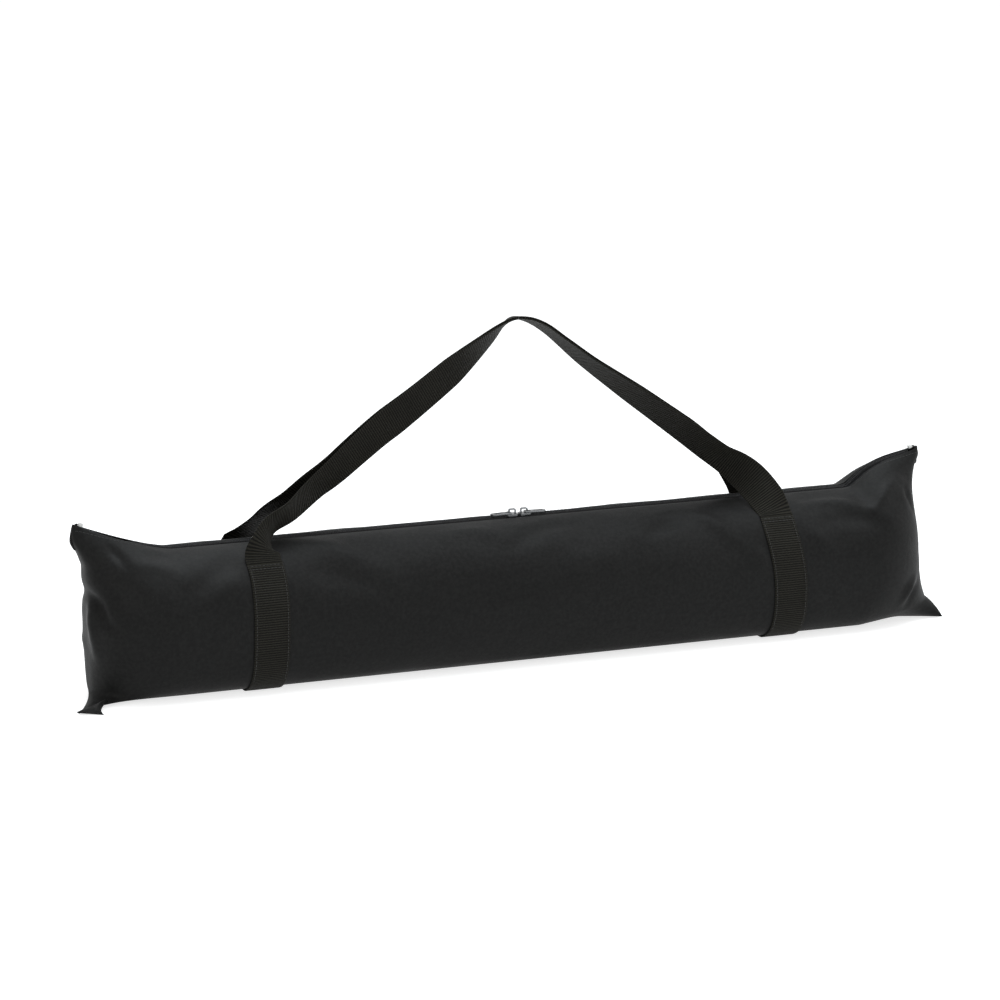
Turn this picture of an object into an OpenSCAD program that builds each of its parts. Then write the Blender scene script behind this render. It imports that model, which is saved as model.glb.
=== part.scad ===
// Carry bag with a portable net kit packed inside it.
// X runs along the bag, -Y is its front, Z is up and Z = 0 is the surface it stands on.

/* [Frame tubes] */
// Outer diameter of every frame tube
tube_d = 24; // [20:1:28]
// Wall thickness of the frame tubes
tube_wall = 1.4; // [1:0.1:2]
// Length of a rail section and of an upright, spigot included
tube_len = 880; // [700:10:1000]
// Length of the reduced spigot that plugs into the next tube
spigot_len = 52; // [40:1:70]
// Diameter of the snap button in each spigot
button_d = 6; // [5:0.5:8]
// How far a snap button is pressed in
button_travel = 3; // [2:0.5:3.5]
// Length of one foot tube
foot_len = 405; // [300:5:420]
// Diameter of the centre post
post_d = 16; // [12:1:18]
// Length of the centre post
post_len = 820; // [600:10:840]

/* [Net] */
// Diameter of the rolled net
roll_d = 76; // [64:1:84]
// Height of the net, which is the length of its roll
net_height = 760; // [600:10:780]
// Width of the white headband along the net's top edge
headband_w = 50; // [40:1:60]
// Thickness of the folded layers in the roll
layer_t = 4; // [3:0.5:5]
// Width of the straps round the tubes and of the net ties
tie_w = 25; // [15:1:40]
// Thickness of those straps and ties
tie_t = 1.2; // [0.8:0.1:1.6]

/* [Bag] */
// Thickness of the coated fabric
wall = 1.2; // [0.8:0.1:1.5]
// Room between a rail's end and the bag's end seam
end_slack = 55; // [48:1:80]
// Room at each side between the outer tubes and the bag
side_slack = 4; // [3:1:12]
// Height from the top of the net roll to the ridge of the bag
top_slack = 27; // [20:1:40]
// Length over which each end closes to its seam
end_len = 92; // [70:1:110]
// Height of the top corners above the ridge
corner_rise = 34; // [15:1:45]
// How far a top corner reaches past the end seam
corner_out = 14; // [0:1:20]
// How far a bottom corner reaches past the end seam
ear_out = 30; // [10:1:40]
// How far the left bottom corner lies to the front
left_ear_front = 70; // [20:1:80]
// How far the right bottom corner lies to the front
right_ear_front = 36; // [20:1:80]

/* [Zip] */
// Width of the open gap between the two panels, where the zip shows
zip_gap = 17; // [15:1:22]
// Width of one coil
coil_w = 3; // [2.5:0.1:3.5]
// Height of the coils
coil_h = 2.6; // [2:0.1:3]
// Gap between the two coils, which a slider's post runs in
coil_gap = 1.8; // [1.6:0.1:3]
// Width of one zip tape
tape_w = 14; // [12:1:16]
// Length of a slider's plates
slider_len = 13; // [10:1:16]
// Thickness of a slider's plates
plate_t = 1.6; // [1.2:0.1:2]
// Gap between the two sliders where they meet
slider_gap = 1; // [0.6:0.1:3]
// Length of a pull tab from its hinge to its tip
pull_len = 24; // [16:1:30]
// Width of a pull tab
pull_w = 7; // [6:0.5:9]
// Thickness of a pull tab
pull_t = 1.6; // [1.2:0.1:2]

/* [Handles] */
// Width of the webbing
web_w = 40; // [30:1:50]
// Thickness of the webbing
web_t = 1.6; // [1.2:0.1:2.4]
// Distance between the left and the right band
band_gap = 612; // [500:2:660]
// How far the middle between the bands lies to the right
band_shift = -6; // [-20:1:20]
// Angle round the bag's side at which the bands end and the handles begin
shoulder_angle = 57; // [45:1:65]
// Height of the apex above the shoulders
handle_rise = 232; // [150:1:280]
// Upright foot of a handle above the left shoulder
left_foot = 22; // [16:1:50]
// Upright foot of a handle above the right shoulder
right_foot = 16; // [15:1:50]
// How far the slacker left leg hangs below a straight line
left_sag = 9; // [0:1:16]
// Share of the rise above which the two handles lie against each other
meet_at = 0.4; // [0.3:0.05:0.9]
// Width of the flat stretch at the apex
apex_w = 22; // [16:1:40]
// Slack between the two handles at the apex
handle_gap = 1.6; // [1.2:0.1:3]

/* [Hidden] */
rails = 8;                 // sections of the ground rail

$fn = 48;
fit = 0.3;                 // clearance between pieces that lie beside each other
coarse = 24;               // facets round a hull's children

// Colours
fabric_black = [0.16, 0.165, 0.17];
webbing_black = [0.12, 0.115, 0.1];
zip_black = [0.08, 0.08, 0.08];
metal = [0.55, 0.56, 0.58];
stop_white = [0.93, 0.93, 0.92];
tube_black = [0.1, 0.1, 0.11];
steel = [0.72, 0.73, 0.75];
net_black = [0.09, 0.09, 0.1];

// Levels of the stack inside the bag, from the floor up
web_step = web_t + fit;                       // room that a band takes under the bag
tube_r = tube_d / 2;
tube_pitch = tube_d + fit;
row_a_z = web_step + wall + tie_t + 2 * fit + tube_r;
row_b_z = row_a_z + tube_pitch * sin(60);
row_c_y = 2 * tube_pitch;
row_c_z = row_b_z + sqrt(pow(tube_d + tie_t + 3 * fit, 2) - pow(tube_pitch / 2, 2));
side_y = row_c_y + tube_r / 2;
side_z = row_c_z + sqrt(pow(tube_pitch, 2) - pow(side_y - row_c_y, 2));
roll_r = roll_d / 2;
roll_z = row_b_z + tube_r + 2 * tie_t + 3 * fit + roll_r;
// A tube that leans on the roll's shoulder, at this angle
lean = 27;
lean_gap = roll_r + tie_t + 2 * fit;          // from the roll's axis to what lies beside its ties
roll_top = roll_z + roll_r + tie_t + fit;

// Corner sockets
socket_wall = 2;
socket_r = tube_r + socket_wall + fit;
socket_stub = socket_r + 12;                  // from a socket's middle to the mouth that faces the net roll
socket_arm = 34;                              // from its middle to the mouths for the feet
socket_neck = 44;                             // from its middle to the mouth for the upright
roll_gap = 3;                                 // between the net roll and the sockets
socket_x = net_height / 2 + roll_gap + socket_stub;
socket_room = 16;                             // between the sockets and the end of the kit

// Feet
foot_gap = 2;                                 // between two feet that lie end to end
cap_end = 3;                                  // thickness of a rubber cap's end
foot_room = 30;                               // between the feet and the end of the kit

// Bag. The kit is as long as its longest row: the rails, the roll between the sockets, or two feet.
kit_len = max(tube_len, 2 * (socket_x + socket_r + socket_room), 2 * (foot_len + cap_end + foot_room) + foot_gap);
bag_len = kit_len + 2 * end_slack;
bag_h = roll_top + top_slack;
bag_a = side_y + tube_r + wall + side_slack;  // half of the bag's depth
belly_z = web_step + 0.47 * (bag_h - web_step);
round_up = 2.2;                               // superellipse exponents of the section
round_down = 3;
press = 1.04;               // how far the bottom is pressed flat by what it stands on
full_x = bag_len / 2 - end_len;               // the section is full up to here
end_round = 0.6;                              // how bluntly the depth closes at the ends
corner_z = bag_h + corner_rise;
ear_from = 0.78;                              // share of the end seam that runs straight down
lap = 0.15;                                   // from the middle of a seam to each layer

// A power that keeps the sign of its base
function spow(b, e) = sign(b) * pow(abs(b), e);

// Share of the depth below the belly, pressed against what the bag stands on: flat for the webbing,
// with a slight crown for the fabric
function pressed(share, crown) =
    share > 1 + crown ? 1 : share > 1 - crown ? 1 - pow(1 + crown - share, 2) / (4 * crown) : share;

// Point of the full section at an angle, a distance inside the outer surface; y is for the front
function section(angle, inside) =
    let (up = angle > 0, n = 2 / (up ? round_up : round_down),
         h = up ? bag_h - belly_z - inside : belly_z - web_step - inside,
         rise = pow(abs(sin(angle)), n))
    [-(bag_a - inside) * spow(cos(angle), n),
     belly_z + h * (up ? rise : -pressed(press * rise, inside < 0 ? 0 : press - 1))];

// Angle at which the full section has that half-width near the ridge
function ridge_angle(y, inside) = acos(pow(y / (bag_a - inside), round_up / 2));

// Middle of an end seam, from the top corner (0) to the tip of the bottom corner (1)
function seam(q, front) =
    let (down = min(q / ear_from, 1), out = max(0, (q - ear_from) / (1 - ear_from)),
         foot_z = web_step + wall + lap)
    [bag_len / 2 + corner_out * pow(1 - down, 4) - 4 * (1 - down) * down + ear_out * pow(out, 0.7),
     -front * pow(out, 1.3),
     corner_z - (corner_z - foot_z - 8) * down - 8 * out,
     90 * out];

// Point of the bag's skin. side is -1 for the front, t runs from the full section (0) to the seam (1).
function skin_point(side, end, t, angle, inside) =
    let (base = section(angle, inside),
         q = (90 - angle) / 180,
         s = seam(q, end < 0 ? left_ear_front : right_ear_front),
         off = lap + max(wall - inside, 0),
         seam_y = s[1] + side * off * cos(s[3]),
         seam_z = s[2] - side * off * sin(s[3]) - max(inside - wall, 0),
         close = pow(cos(90 * t), end_round),
         along = sin(90 * t))
    [end * (full_x + (s[0] - min(inside, wall) * cos(s[3]) - full_x) * along),
     -side * base[0] * close + seam_y * pow(along, 1.7),
     base[1] + (seam_z - base[1]) * pow(along, 1.3)];

// Unit vector from the outer surface straight into the fabric, short of the seam
function inward(side, end, t, angle) =
    let (u = skin_point(side, end, min(t + 0.02, 0.96), angle, 0) - skin_point(side, end, max(t - 0.02, 0), angle, 0),
         v = skin_point(side, end, t, min(angle + 3, 90), 0) - skin_point(side, end, t, max(angle - 3, -90), 0),
         n = side * end * cross(u, v))
    n / norm(n);

// Point at a depth below the outer surface, measured straight into the fabric, except at the seam
function layer_point(side, end, t, angle, depth) =
    t < 1 ? skin_point(side, end, t, angle, 0) + depth * inward(side, end, t, angle)
          : skin_point(side, end, t, angle, depth);

// Stations from the left seam to the right one, as [end, t]
end_steps = [1, 0.93, 0.82, 0.7, 0.56, 0.42, 0.28, 0.14, 0];
all_stations = concat([for (t = end_steps) [-1, t]], [for (i = [len(end_steps) - 1:-1:0]) [1, end_steps[i]]]);

// Closed layer of the skin between two depths and two angles, as far out as reach
module skin(side, outer, inner, from, to, steps, reach = 1) {
    stations = [for (s = all_stations) if (s[1] <= reach) s];
    grid = [for (depth = [outer, inner]) for (s = stations) for (k = [0:steps])
        layer_point(side, s[0], s[1], from + (to - from) * k / steps, depth)];
    row = steps + 1;
    count = len(stations);
    inner_at = row * count;
    function at(layer, i, k) = layer * inner_at + i * row + k;
    function quad(a, b, c, d) = side < 0 ? [a, b, c, d] : [d, c, b, a];
    polyhedron(grid, concat(
        [for (i = [0:count - 2]) for (k = [0:steps - 1])
            quad(at(0, i, k), at(0, i + 1, k), at(0, i + 1, k + 1), at(0, i, k + 1))],
        [for (i = [0:count - 2]) for (k = [0:steps - 1])
            quad(at(1, i, k), at(1, i, k + 1), at(1, i + 1, k + 1), at(1, i + 1, k))],
        [for (i = [0:count - 2]) quad(at(0, i, 0), at(1, i, 0), at(1, i + 1, 0), at(0, i + 1, 0))],
        [for (i = [0:count - 2])
            quad(at(0, i, steps), at(0, i + 1, steps), at(1, i + 1, steps), at(1, i, steps))],
        [for (k = [0:steps - 1]) quad(at(0, 0, k), at(0, 0, k + 1), at(1, 0, k + 1), at(1, 0, k))],
        [for (k = [0:steps - 1])
            quad(at(0, count - 1, k), at(1, count - 1, k), at(1, count - 1, k + 1), at(0, count - 1, k + 1))]));
}

// ---- Fabric ----
panel_steps = 20;
panel_top = ridge_angle(zip_gap / 2, 0);

module front_panel() {
    color(fabric_black) skin(-1, 0, wall, panel_top, -90, panel_steps);
}

module back_panel() {
    color(fabric_black) skin(1, 0, wall, panel_top, -90, panel_steps);
}

// ---- Zip ----
tape_t = 0.6;
tape_in = wall + 0.7;                         // the tapes lie this far inside the bag's outer surface
tape_top_z = bag_h - tape_in;
chain_half = coil_gap / 2 + coil_w;

// One tape, under its panel, from the coil outwards
module zip_tape(side) {
    color(zip_black)
        skin(side, tape_in, tape_in + tape_t, ridge_angle(coil_gap / 2, tape_in),
             ridge_angle(coil_gap / 2 + tape_w, tape_in), 4, 0.82);
}

// Points of the ridge from the left corner to the right one, at the top of the tapes
coil_stations = [for (s = all_stations) if (s[1] <= 0.7) s];
function ridge_point(s, y) =
    let (p = layer_point(-1, s[0], s[1], 90, tape_in)) [p[0], y * (1 - 0.35 * s[1]), p[2]];

// One coil, swept along the ridge with a half-round section
module zip_coil(side) {
    sides = 6;
    ring = [for (s = coil_stations) for (k = [0:sides])
        ridge_point(s, side * (coil_gap / 2 + coil_w / 2 + coil_w / 2 * cos(180 * k / sides)))
            + [0, 0, coil_h * sin(180 * k / sides)]];
    n = sides + 1;
    last = len(coil_stations) - 1;
    function turn(f) = side < 0 ? f : [for (i = [len(f) - 1:-1:0]) f[i]];
    color(zip_black)
        polyhedron(ring, concat(
            [for (i = [0:last - 1]) for (k = [0:sides])
                turn([i * n + k, i * n + (k + 1) % n, (i + 1) * n + (k + 1) % n, (i + 1) * n + k])],
            [turn([for (k = [sides:-1:0]) k])],
            [turn([for (k = [0:sides]) last * n + k])]));
}

module front_zip_tape() { zip_tape(-1); }
module back_zip_tape() { zip_tape(1); }
module front_zip_coil() { zip_coil(-1); }
module back_zip_coil() { zip_coil(1); }

// Moulded end stop that closes the zip at a top corner, tilted as the ridge rises
stop_at = 0.75;
stop_len = 4.4;
module zip_stop(end) {
    p = layer_point(-1, end, stop_at, 90, tape_in);
    q = layer_point(-1, end, stop_at + 0.05, 90, tape_in);
    coil_end = ridge_point(coil_stations[0], 0)[0];
    mid_x = abs(coil_end) + fit + stop_len / 2 + 0.4;
    rise = atan((q[2] - p[2]) / abs(q[0] - p[0]));
    color(stop_white)
        translate([end * mid_x, 0, p[2] + (mid_x - abs(p[0])) * tan(rise) + fit]) rotate([0, -end * rise, 0])
            hull() {
                translate([0, 0, 1]) cube([stop_len, 1.6 * chain_half, 2], center = true);
                translate([0, 0, 2.4]) cube([stop_len - 1.6, chain_half, 1.6], center = true);
            }
}

module left_zip_stop() { zip_stop(-1); }
module right_zip_stop() { zip_stop(1); }

// Sliders, built with their shoulders towards +X
slider_x = (slider_len + slider_gap) / 2;
slider_half = chain_half + fit + 1.2;         // half-width of the plates
upper_z = tape_top_z + coil_h + fit;          // underside of the upper plate
lower_z = tape_top_z - tape_t - fit;          // top of the lower plate
plate_top = upper_z + plate_t;
crown_wire = 1.6;
crown_w = 2.4;
crown_len = 9;
crown_h = 5.6;
pin_r = 0.9;                                  // radius of the pull tab's cross bar
hinge_in = crown_len / 2 - crown_wire - pin_r - 0.2;
hinge_z = plate_top + pin_r + 0.2;
post_w = coil_gap - 2 * fit;                  // the post that joins the plates

// Outline of a plate: square at the tail, rounded and wider at the shoulder
module plate_outline() {
    hull() {
        translate([-slider_len / 2, -slider_half + 0.8]) square([1, 2 * (slider_half - 0.8)]);
        for (side = [-1, 1])
            translate([slider_len / 2 - 3, side * (slider_half - 3)]) circle(r = 3, $fn = coarse);
    }
}

module slider(end) {
    translate([end * slider_x, 0, 0]) mirror([end > 0 ? 1 : 0, 0, 0]) color(metal) {
        // Upper plate with its side flanges
        difference() {
            translate([0, 0, tape_top_z + fit]) linear_extrude(plate_top - tape_top_z - fit) plate_outline();
            translate([-slider_len, -chain_half - fit, tape_top_z])
                cube([2 * slider_len, 2 * (chain_half + fit), upper_z - tape_top_z]);
        }
        // Lower plate
        translate([0, 0, lower_z - plate_t]) linear_extrude(plate_t) plate_outline();
        // Post between the coils
        translate([slider_len / 2 - 5, -post_w / 2, lower_z - plate_t])
            cube([4, post_w, plate_top - lower_z]);
        // Crown that holds the pull tab
        translate([0, crown_w / 2, plate_top]) rotate([90, 0, 0]) linear_extrude(crown_w)
            difference() {
                hull() {
                    translate([-crown_len / 2, -0.2]) square([crown_len, 0.4]);
                    for (x = [-1, 1])
                        translate([x * (crown_len / 2 - 2.6), crown_h - 2.6]) circle(r = 2.6, $fn = coarse);
                }
                hull() {
                    translate([-crown_len / 2 + crown_wire, 0])
                        square([crown_len - 2 * crown_wire, 0.1]);
                    for (x = [-1, 1])
                        translate([x * (crown_len / 2 - 2.6), crown_h - 2.6])
                            circle(r = 2.6 - crown_wire, $fn = coarse);
                }
            }
    }
}

module left_slider() { slider(-1); }
module right_slider() { slider(1); }

// Pull tab: cross bar through the crown, two legs and a slotted plate that rests on the coils
eye_len = 6;
// A tab rests on the coils or on the edge of the slider's plate, whichever it meets first
tab_drop = min(asin((hinge_z - tape_top_z - coil_h - pull_t / 2 - fit) / pull_len),
               atan((hinge_z - plate_top - (pull_t + fit) / 2) / (slider_len / 2 - hinge_in)));

module pull_tab(end) {
    translate([end * (slider_x + hinge_in), 0, hinge_z]) mirror([end < 0 ? 1 : 0, 0, 0])
        rotate([0, tab_drop, 0]) color(metal) {
            rotate([90, 0, 0]) cylinder(r = pin_r, h = pull_w, center = true);
            difference() {
                translate([0, 0, -pull_t / 2]) linear_extrude(pull_t) hull() {
                    translate([0, -pull_w / 2]) square([1, pull_w]);
                    translate([pull_len - pull_w / 2, 0]) circle(d = pull_w);
                }
                // Eye round the crown
                translate([-1, -crown_w / 2 - 0.5, -pull_t]) cube([eye_len + 1, crown_w + 1, 2 * pull_t]);
                // Slot near the tip
                translate([0, 0, -pull_t]) linear_extrude(2 * pull_t) hull() {
                    translate([eye_len + 4, 0]) circle(d = 3);
                    translate([pull_len - 5, 0]) circle(d = 3);
                }
            }
            rotate([90, 0, 0]) cylinder(r = pin_r, h = crown_w + 1.2, center = true);
        }
}

module left_pull_tab() { pull_tab(-1); }
module right_pull_tab() { pull_tab(1); }

// ---- Seam bindings inside the ends ----
binding_w = 10;
binding_t = 2.4;
module seam_binding(end) {
    foot = web_step + wall + 14;
    mid_x = bag_len / 2 - wall - 0.5 - binding_w;
    color(webbing_black) mirror([end < 0 ? 1 : 0, 0, 0])
        translate([mid_x, 0, foot]) linear_extrude(bag_h - 30 - foot) hull() {
            circle(d = binding_t, $fn = coarse);
            translate([binding_w - binding_t / 2, -binding_t / 4]) square([0.6, binding_t / 2]);
        }
}

module left_seam_binding() { seam_binding(-1); }
module right_seam_binding() { seam_binding(1); }

// ---- Webbing bands under the bag ----
function band_x(end) = band_shift + end * band_gap / 2;
// The bands end this far below the hinge line, so that the handles fold right down beside them
band_top = shoulder_angle - 2.4 * web_t;
band_steps = 18;
module band(end) {
    angles = [for (k = [0:band_steps]) band_top - (band_top + 90) * k / band_steps];
    half = [for (a = angles) section(a, -fit)];
    skin_side = [for (a = angles) section(a, -web_step)];
    outer = concat([for (p = skin_side) p], [for (i = [band_steps - 1:-1:0]) [-skin_side[i][0], skin_side[i][1]]]);
    inner = concat([for (p = half) p], [for (i = [band_steps - 1:-1:0]) [-half[i][0], half[i][1]]]);
    color(webbing_black)
        translate([band_x(end) - web_w / 2, 0, 0]) rotate([90, 0, 90]) linear_extrude(web_w)
            polygon(concat(outer, [for (i = [len(inner) - 1:-1:0]) inner[i]]));
}

module left_band() { band(-1); }
module right_band() { band(1); }

// ---- Handles ----
// The hinge line of both ends of a handle lies in the middle of the webbing at the shoulder
shoulder = section(shoulder_angle, -fit - web_t / 2);
apex_z = shoulder[1] + handle_rise;
// Round corner at b between a and c, with its radius, as points along the arc
function corner_cut(a, b, c, radius, steps) =
    let (u = (a - b) / norm(a - b), w = (c - b) / norm(c - b), turn = 180 - acos(u * w),
         cut = radius * tan(turn / 2), mid = b + (u + w) / norm(u + w) * radius / cos(turn / 2),
         v0 = b + u * cut - mid, v1 = b + w * cut - mid)
    [for (k = [0:steps]) mid + (sin(turn * (1 - k / steps)) * v0 + sin(turn * k / steps) * v1) / sin(turn)];
function straight(a, b, steps) = [for (k = [1:steps - 1]) a + (b - a) * k / steps];

// Centre line of a handle in the X-Z plane: feet, legs and apex, with rounded corners
foot_bend = 28;
apex_bend = 30;
leg_steps = 22;
route = let (
    l0 = [band_x(-1), shoulder[1]], l1 = l0 + [0, left_foot],
    l2 = [-apex_w / 2, apex_z], r2 = [apex_w / 2, apex_z],
    r0 = [band_x(1), shoulder[1]], r1 = r0 + [0, right_foot],
    left_bend = corner_cut(l0, l1, l2, foot_bend, 6),
    left_top = corner_cut(l1, l2, r2, apex_bend, 4),
    right_top = corner_cut(l2, r2, r1, apex_bend, 4),
    right_bend = corner_cut(r2, r1, r0, foot_bend, 6))
    concat([l0], left_bend, straight(left_bend[6], left_top[0], leg_steps), left_top, right_top,
           straight(right_top[4], right_bend[0], leg_steps), right_bend, [r0]);
function droop(p) = [p[0], p[1] - (p[0] < 0 ? left_sag * sin(180 * min(p[0] / band_x(-1), 1)) : 0)];

// Twist of the webbing along the span from the left foot (-1) over the apex (0) to the right foot (1):
// 90 shows its face to the front, 0 its edge
twists = [[-1, 90], [-0.95, 66], [-0.88, 53], [-0.75, 60], [-0.5, 78], [-0.25, 66], [-0.1, 36], [0, 8],
          [0.15, 7], [0.27, 16], [0.45, 29], [0.65, 37], [0.82, 40], [0.92, 55], [1, 90]];
function ease(x) = let (c = min(max(x, 0), 1)) c * c * (3 - 2 * c);
function twist_at(x) = lookup((x - band_shift * abs(x) / (band_gap / 2)) / (band_gap / 2), twists);

// Sweeps the webbing along the route; side is -1 for the front handle, which lies under the back one
module handle(side) {
    line = [for (p = route) droop(p)];
    last = len(line) - 1;
    spread = (web_t + handle_gap) / 2;
    pts = [for (i = [0:last]) let (
        ahead = line[min(i + 1, last)], behind = line[max(i - 1, 0)],
        d = (ahead - behind) / norm(ahead - behind),
        high = (line[i][1] - shoulder[1]) / handle_rise,
        apart = 1 - ease(high / meet_at),
        turn = twist_at(line[i][0]),
        across = [-d[1] * sin(turn), -cos(turn), d[0] * sin(turn)],
        normal = cross(across, [d[0], 0, d[1]]),
        part = ease(high / meet_at),
        mid = [line[i][0], -side * shoulder[0] * apart, line[i][1]] + side * part * spread * normal)
        for (c = [[-1, -1], [1, -1], [1, 1], [-1, 1]])
            mid + across * c[0] * web_w / 2 + normal * c[1] * web_t / 2];
    color(webbing_black)
        polyhedron(pts, concat(
            [for (i = [0:last - 1]) for (k = [0:3])
                [i * 4 + k, i * 4 + (k + 1) % 4, (i + 1) * 4 + (k + 1) % 4, (i + 1) * 4 + k]],
            [[3, 2, 1, 0]], [[for (k = [0:3]) last * 4 + k]]));
}

module front_handle() { handle(-1); }
module back_handle() { handle(1); }

// ---- Net ----
roll_left = -net_height / 2;
layer_gap = 0.5;
// Spiral outline of the folded net, wound from the core out
module spiral(outer_r, turns) {
    per_turn = 20;
    pitch = layer_t + layer_gap;
    inner_r = outer_r - turns * pitch;
    total = round(turns * per_turn);
    function radius(k) = inner_r + pitch * k / per_turn;
    polygon(concat(
        [for (k = [0:total]) radius(k) * [cos(360 * k / per_turn), sin(360 * k / per_turn)]],
        [for (k = [total:-1:0])
            (radius(k) - layer_t) * [cos(360 * k / per_turn), sin(360 * k / per_turn)]]));
}

module roll_part(from, to, outer_r) {
    translate([from, 0, roll_z]) rotate([90, 0, 90]) linear_extrude(to - from)
        spiral(outer_r, floor((outer_r - 8) / (layer_t + layer_gap)));
}

module net_roll() {
    color(net_black) roll_part(roll_left, roll_left + net_height - headband_w - fit, roll_r - 0.2);
}

module net_headband() {
    color(stop_white) roll_part(roll_left + net_height - headband_w, roll_left + net_height, roll_r);
}

module net_tie(end) {
    color(webbing_black)
        translate([end * net_height / 4 - tie_w / 2, 0, roll_z]) rotate([0, 90, 0]) difference() {
            cylinder(r = roll_r + fit + tie_t, h = tie_w, $fn = 64);
            translate([0, 0, -1]) cylinder(r = roll_r + fit, h = tie_w + 2, $fn = 64);
        }
}

module left_net_tie() { net_tie(-1); }
module right_net_tie() { net_tie(1); }

// ---- Frame tubes ----
// Places of the rails: three in the lower row, four in the upper one and one on the roll's shoulder
row_a = [for (i = [-1:1:1]) [i * tube_pitch, row_a_z]];
row_b = [for (i = [-1.5:1:1.5]) [i * tube_pitch, row_b_z]];
on_roll = [-(lean_gap + tube_r) * cos(lean), roll_z + (lean_gap + tube_r) * sin(lean)];
rail_places = concat(row_a, row_b, [on_roll]);
spigot_r = tube_r - tube_wall - 0.3;
swage_len = 8;
button_hole_r = button_d / 2 + 0.4;
button_at = spigot_len / 2;

// Rail section along X: open socket at the left end, swaged spigot at the right
module rail(i) {
    p = rail_places[i - 1];
    body_len = tube_len - spigot_len;
    color(tube_black)
        translate([-tube_len / 2, p[0], p[1]]) difference() {
            rotate([0, 90, 0]) rotate_extrude() polygon([
                [tube_r - tube_wall, 0], [tube_r, 0], [tube_r, body_len - swage_len],
                [spigot_r, body_len], [spigot_r, tube_len - 1], [spigot_r - 0.8, tube_len],
                [spigot_r - tube_wall, tube_len], [spigot_r - tube_wall, body_len],
                [tube_r - tube_wall, body_len - swage_len]]);
            // Holes for the next tube's button and for this tube's own
            for (x = [button_at, tube_len - button_at])
                translate([x, 0, 0]) cylinder(r = button_hole_r, h = tube_d);
        }
}

// Snap button with its flange and the leaf spring that carries it
module snap_button(i) {
    p = rail_places[i - 1];
    leaf_t = 0.8;
    leaf_z = spigot_r - tube_wall - 1.6;
    top_z = spigot_r + button_travel;         // pressed in, the button is level with the spigot
    color(steel)
        translate([tube_len / 2 - button_at, p[0], p[1]]) {
            translate([0, 0, leaf_z]) cylinder(d = button_d, h = top_z - 0.8 - leaf_z);
            translate([0, 0, top_z - 0.8]) cylinder(r1 = button_d / 2, r2 = button_d / 2 - 1, h = 0.8);
            translate([-18, -button_d / 2, leaf_z]) cube([22, button_d, leaf_t]);
        }
}

// ---- Uprights with their caps ----
cap_plug = 14;              // length of an upright cap's plug
cap_head = 7;               // height of its straight part
cap_taper = 5;              // height of its tapered part
module upright(side) {
    color(tube_black)
        translate([-tube_len / 2, side * row_c_y, row_c_z]) rotate([0, 90, 0]) difference() {
            cylinder(r = tube_r, h = tube_len - cap_head - cap_taper);
            translate([0, 0, -1]) cylinder(r = tube_r - tube_wall, h = tube_len);
        }
}

module left_upright() { upright(-1); }
module right_upright() { upright(1); }

// Plastic caps in the tops of the uprights, each with a hook for the net's cord
module upright_caps() {
    color(zip_black)
        for (side = [-1, 1])
            translate([tube_len / 2 - cap_head - cap_taper, side * row_c_y, row_c_z]) rotate([0, 90, 0])
                difference() {
                    union() {
                        translate([0, 0, -cap_plug]) cylinder(r = tube_r - tube_wall - fit / 2, h = cap_plug + 0.2);
                        cylinder(r = tube_r, h = cap_head);
                        translate([0, 0, cap_head]) cylinder(r1 = tube_r, r2 = tube_r - 3, h = cap_taper);
                    }
                    // Groove that the cord runs in
                    translate([0, tube_d, cap_taper]) rotate([90, 0, 0]) cylinder(r = 2.2, h = 2 * tube_d);
                }
}

// ---- Foot tubes and their caps ----
cap_wall = 1.6;
function foot_mid(end) = end * (foot_len + foot_gap) / 2;
module foot(side, end) {
    color(tube_black)
        translate([foot_mid(end) - foot_len / 2, side * side_y, side_z]) rotate([0, 90, 0]) difference() {
            cylinder(r = tube_r - cap_wall, h = foot_len);
            translate([0, 0, -1]) cylinder(r = tube_r - cap_wall - tube_wall, h = foot_len + 2);
        }
}

module front_left_foot() { foot(-1, -1); }
module front_right_foot() { foot(-1, 1); }
module back_left_foot() { foot(1, -1); }
module back_right_foot() { foot(1, 1); }

// Rubber caps on the outer ends of the foot tubes
module foot_caps() {
    cap_len = 30;
    color(zip_black)
        for (side = [-1, 1]) for (end = [-1, 1])
            translate([end * (foot_gap / 2 + foot_len + cap_end), side * side_y, side_z])
                rotate([0, -90 * end, 0]) difference() {
                    cylinder(r = tube_r, h = cap_len);
                    translate([0, 0, cap_end]) cylinder(r = tube_r - cap_wall + 0.1, h = cap_len);
                }
}

// ---- Corner sockets: the upright, a rail and two feet plug into each ----
// The right socket lies on the snap buttons, the left one on the plain ends of the rails
function socket_z(end) = row_b_z + (end > 0 ? spigot_r + button_travel : tube_r) + fit + socket_r;
module corner_socket(end) {
    bore = tube_r + fit;
    stop = 3;                                 // how far from the middle a tube comes to rest
    color(tube_black)
        translate([end * socket_x, 0, socket_z(end)]) difference() {
            union() {
                rotate([90, 0, 0]) cylinder(r = socket_r, h = 2 * socket_arm, center = true);
                cylinder(r = socket_r, h = socket_neck);
                rotate([0, -90 * end, 0]) cylinder(r = socket_r, h = socket_stub);
            }
            for (side = [-1, 1])
                rotate([side * 90, 0, 0]) translate([0, 0, stop]) cylinder(r = bore, h = socket_arm);
            translate([0, 0, stop]) cylinder(r = bore, h = socket_neck);
            rotate([0, -90 * end, 0]) translate([0, 0, stop]) cylinder(r = bore, h = socket_stub);
        }
}

module left_corner_socket() { corner_socket(-1); }
module right_corner_socket() { corner_socket(1); }

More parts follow.
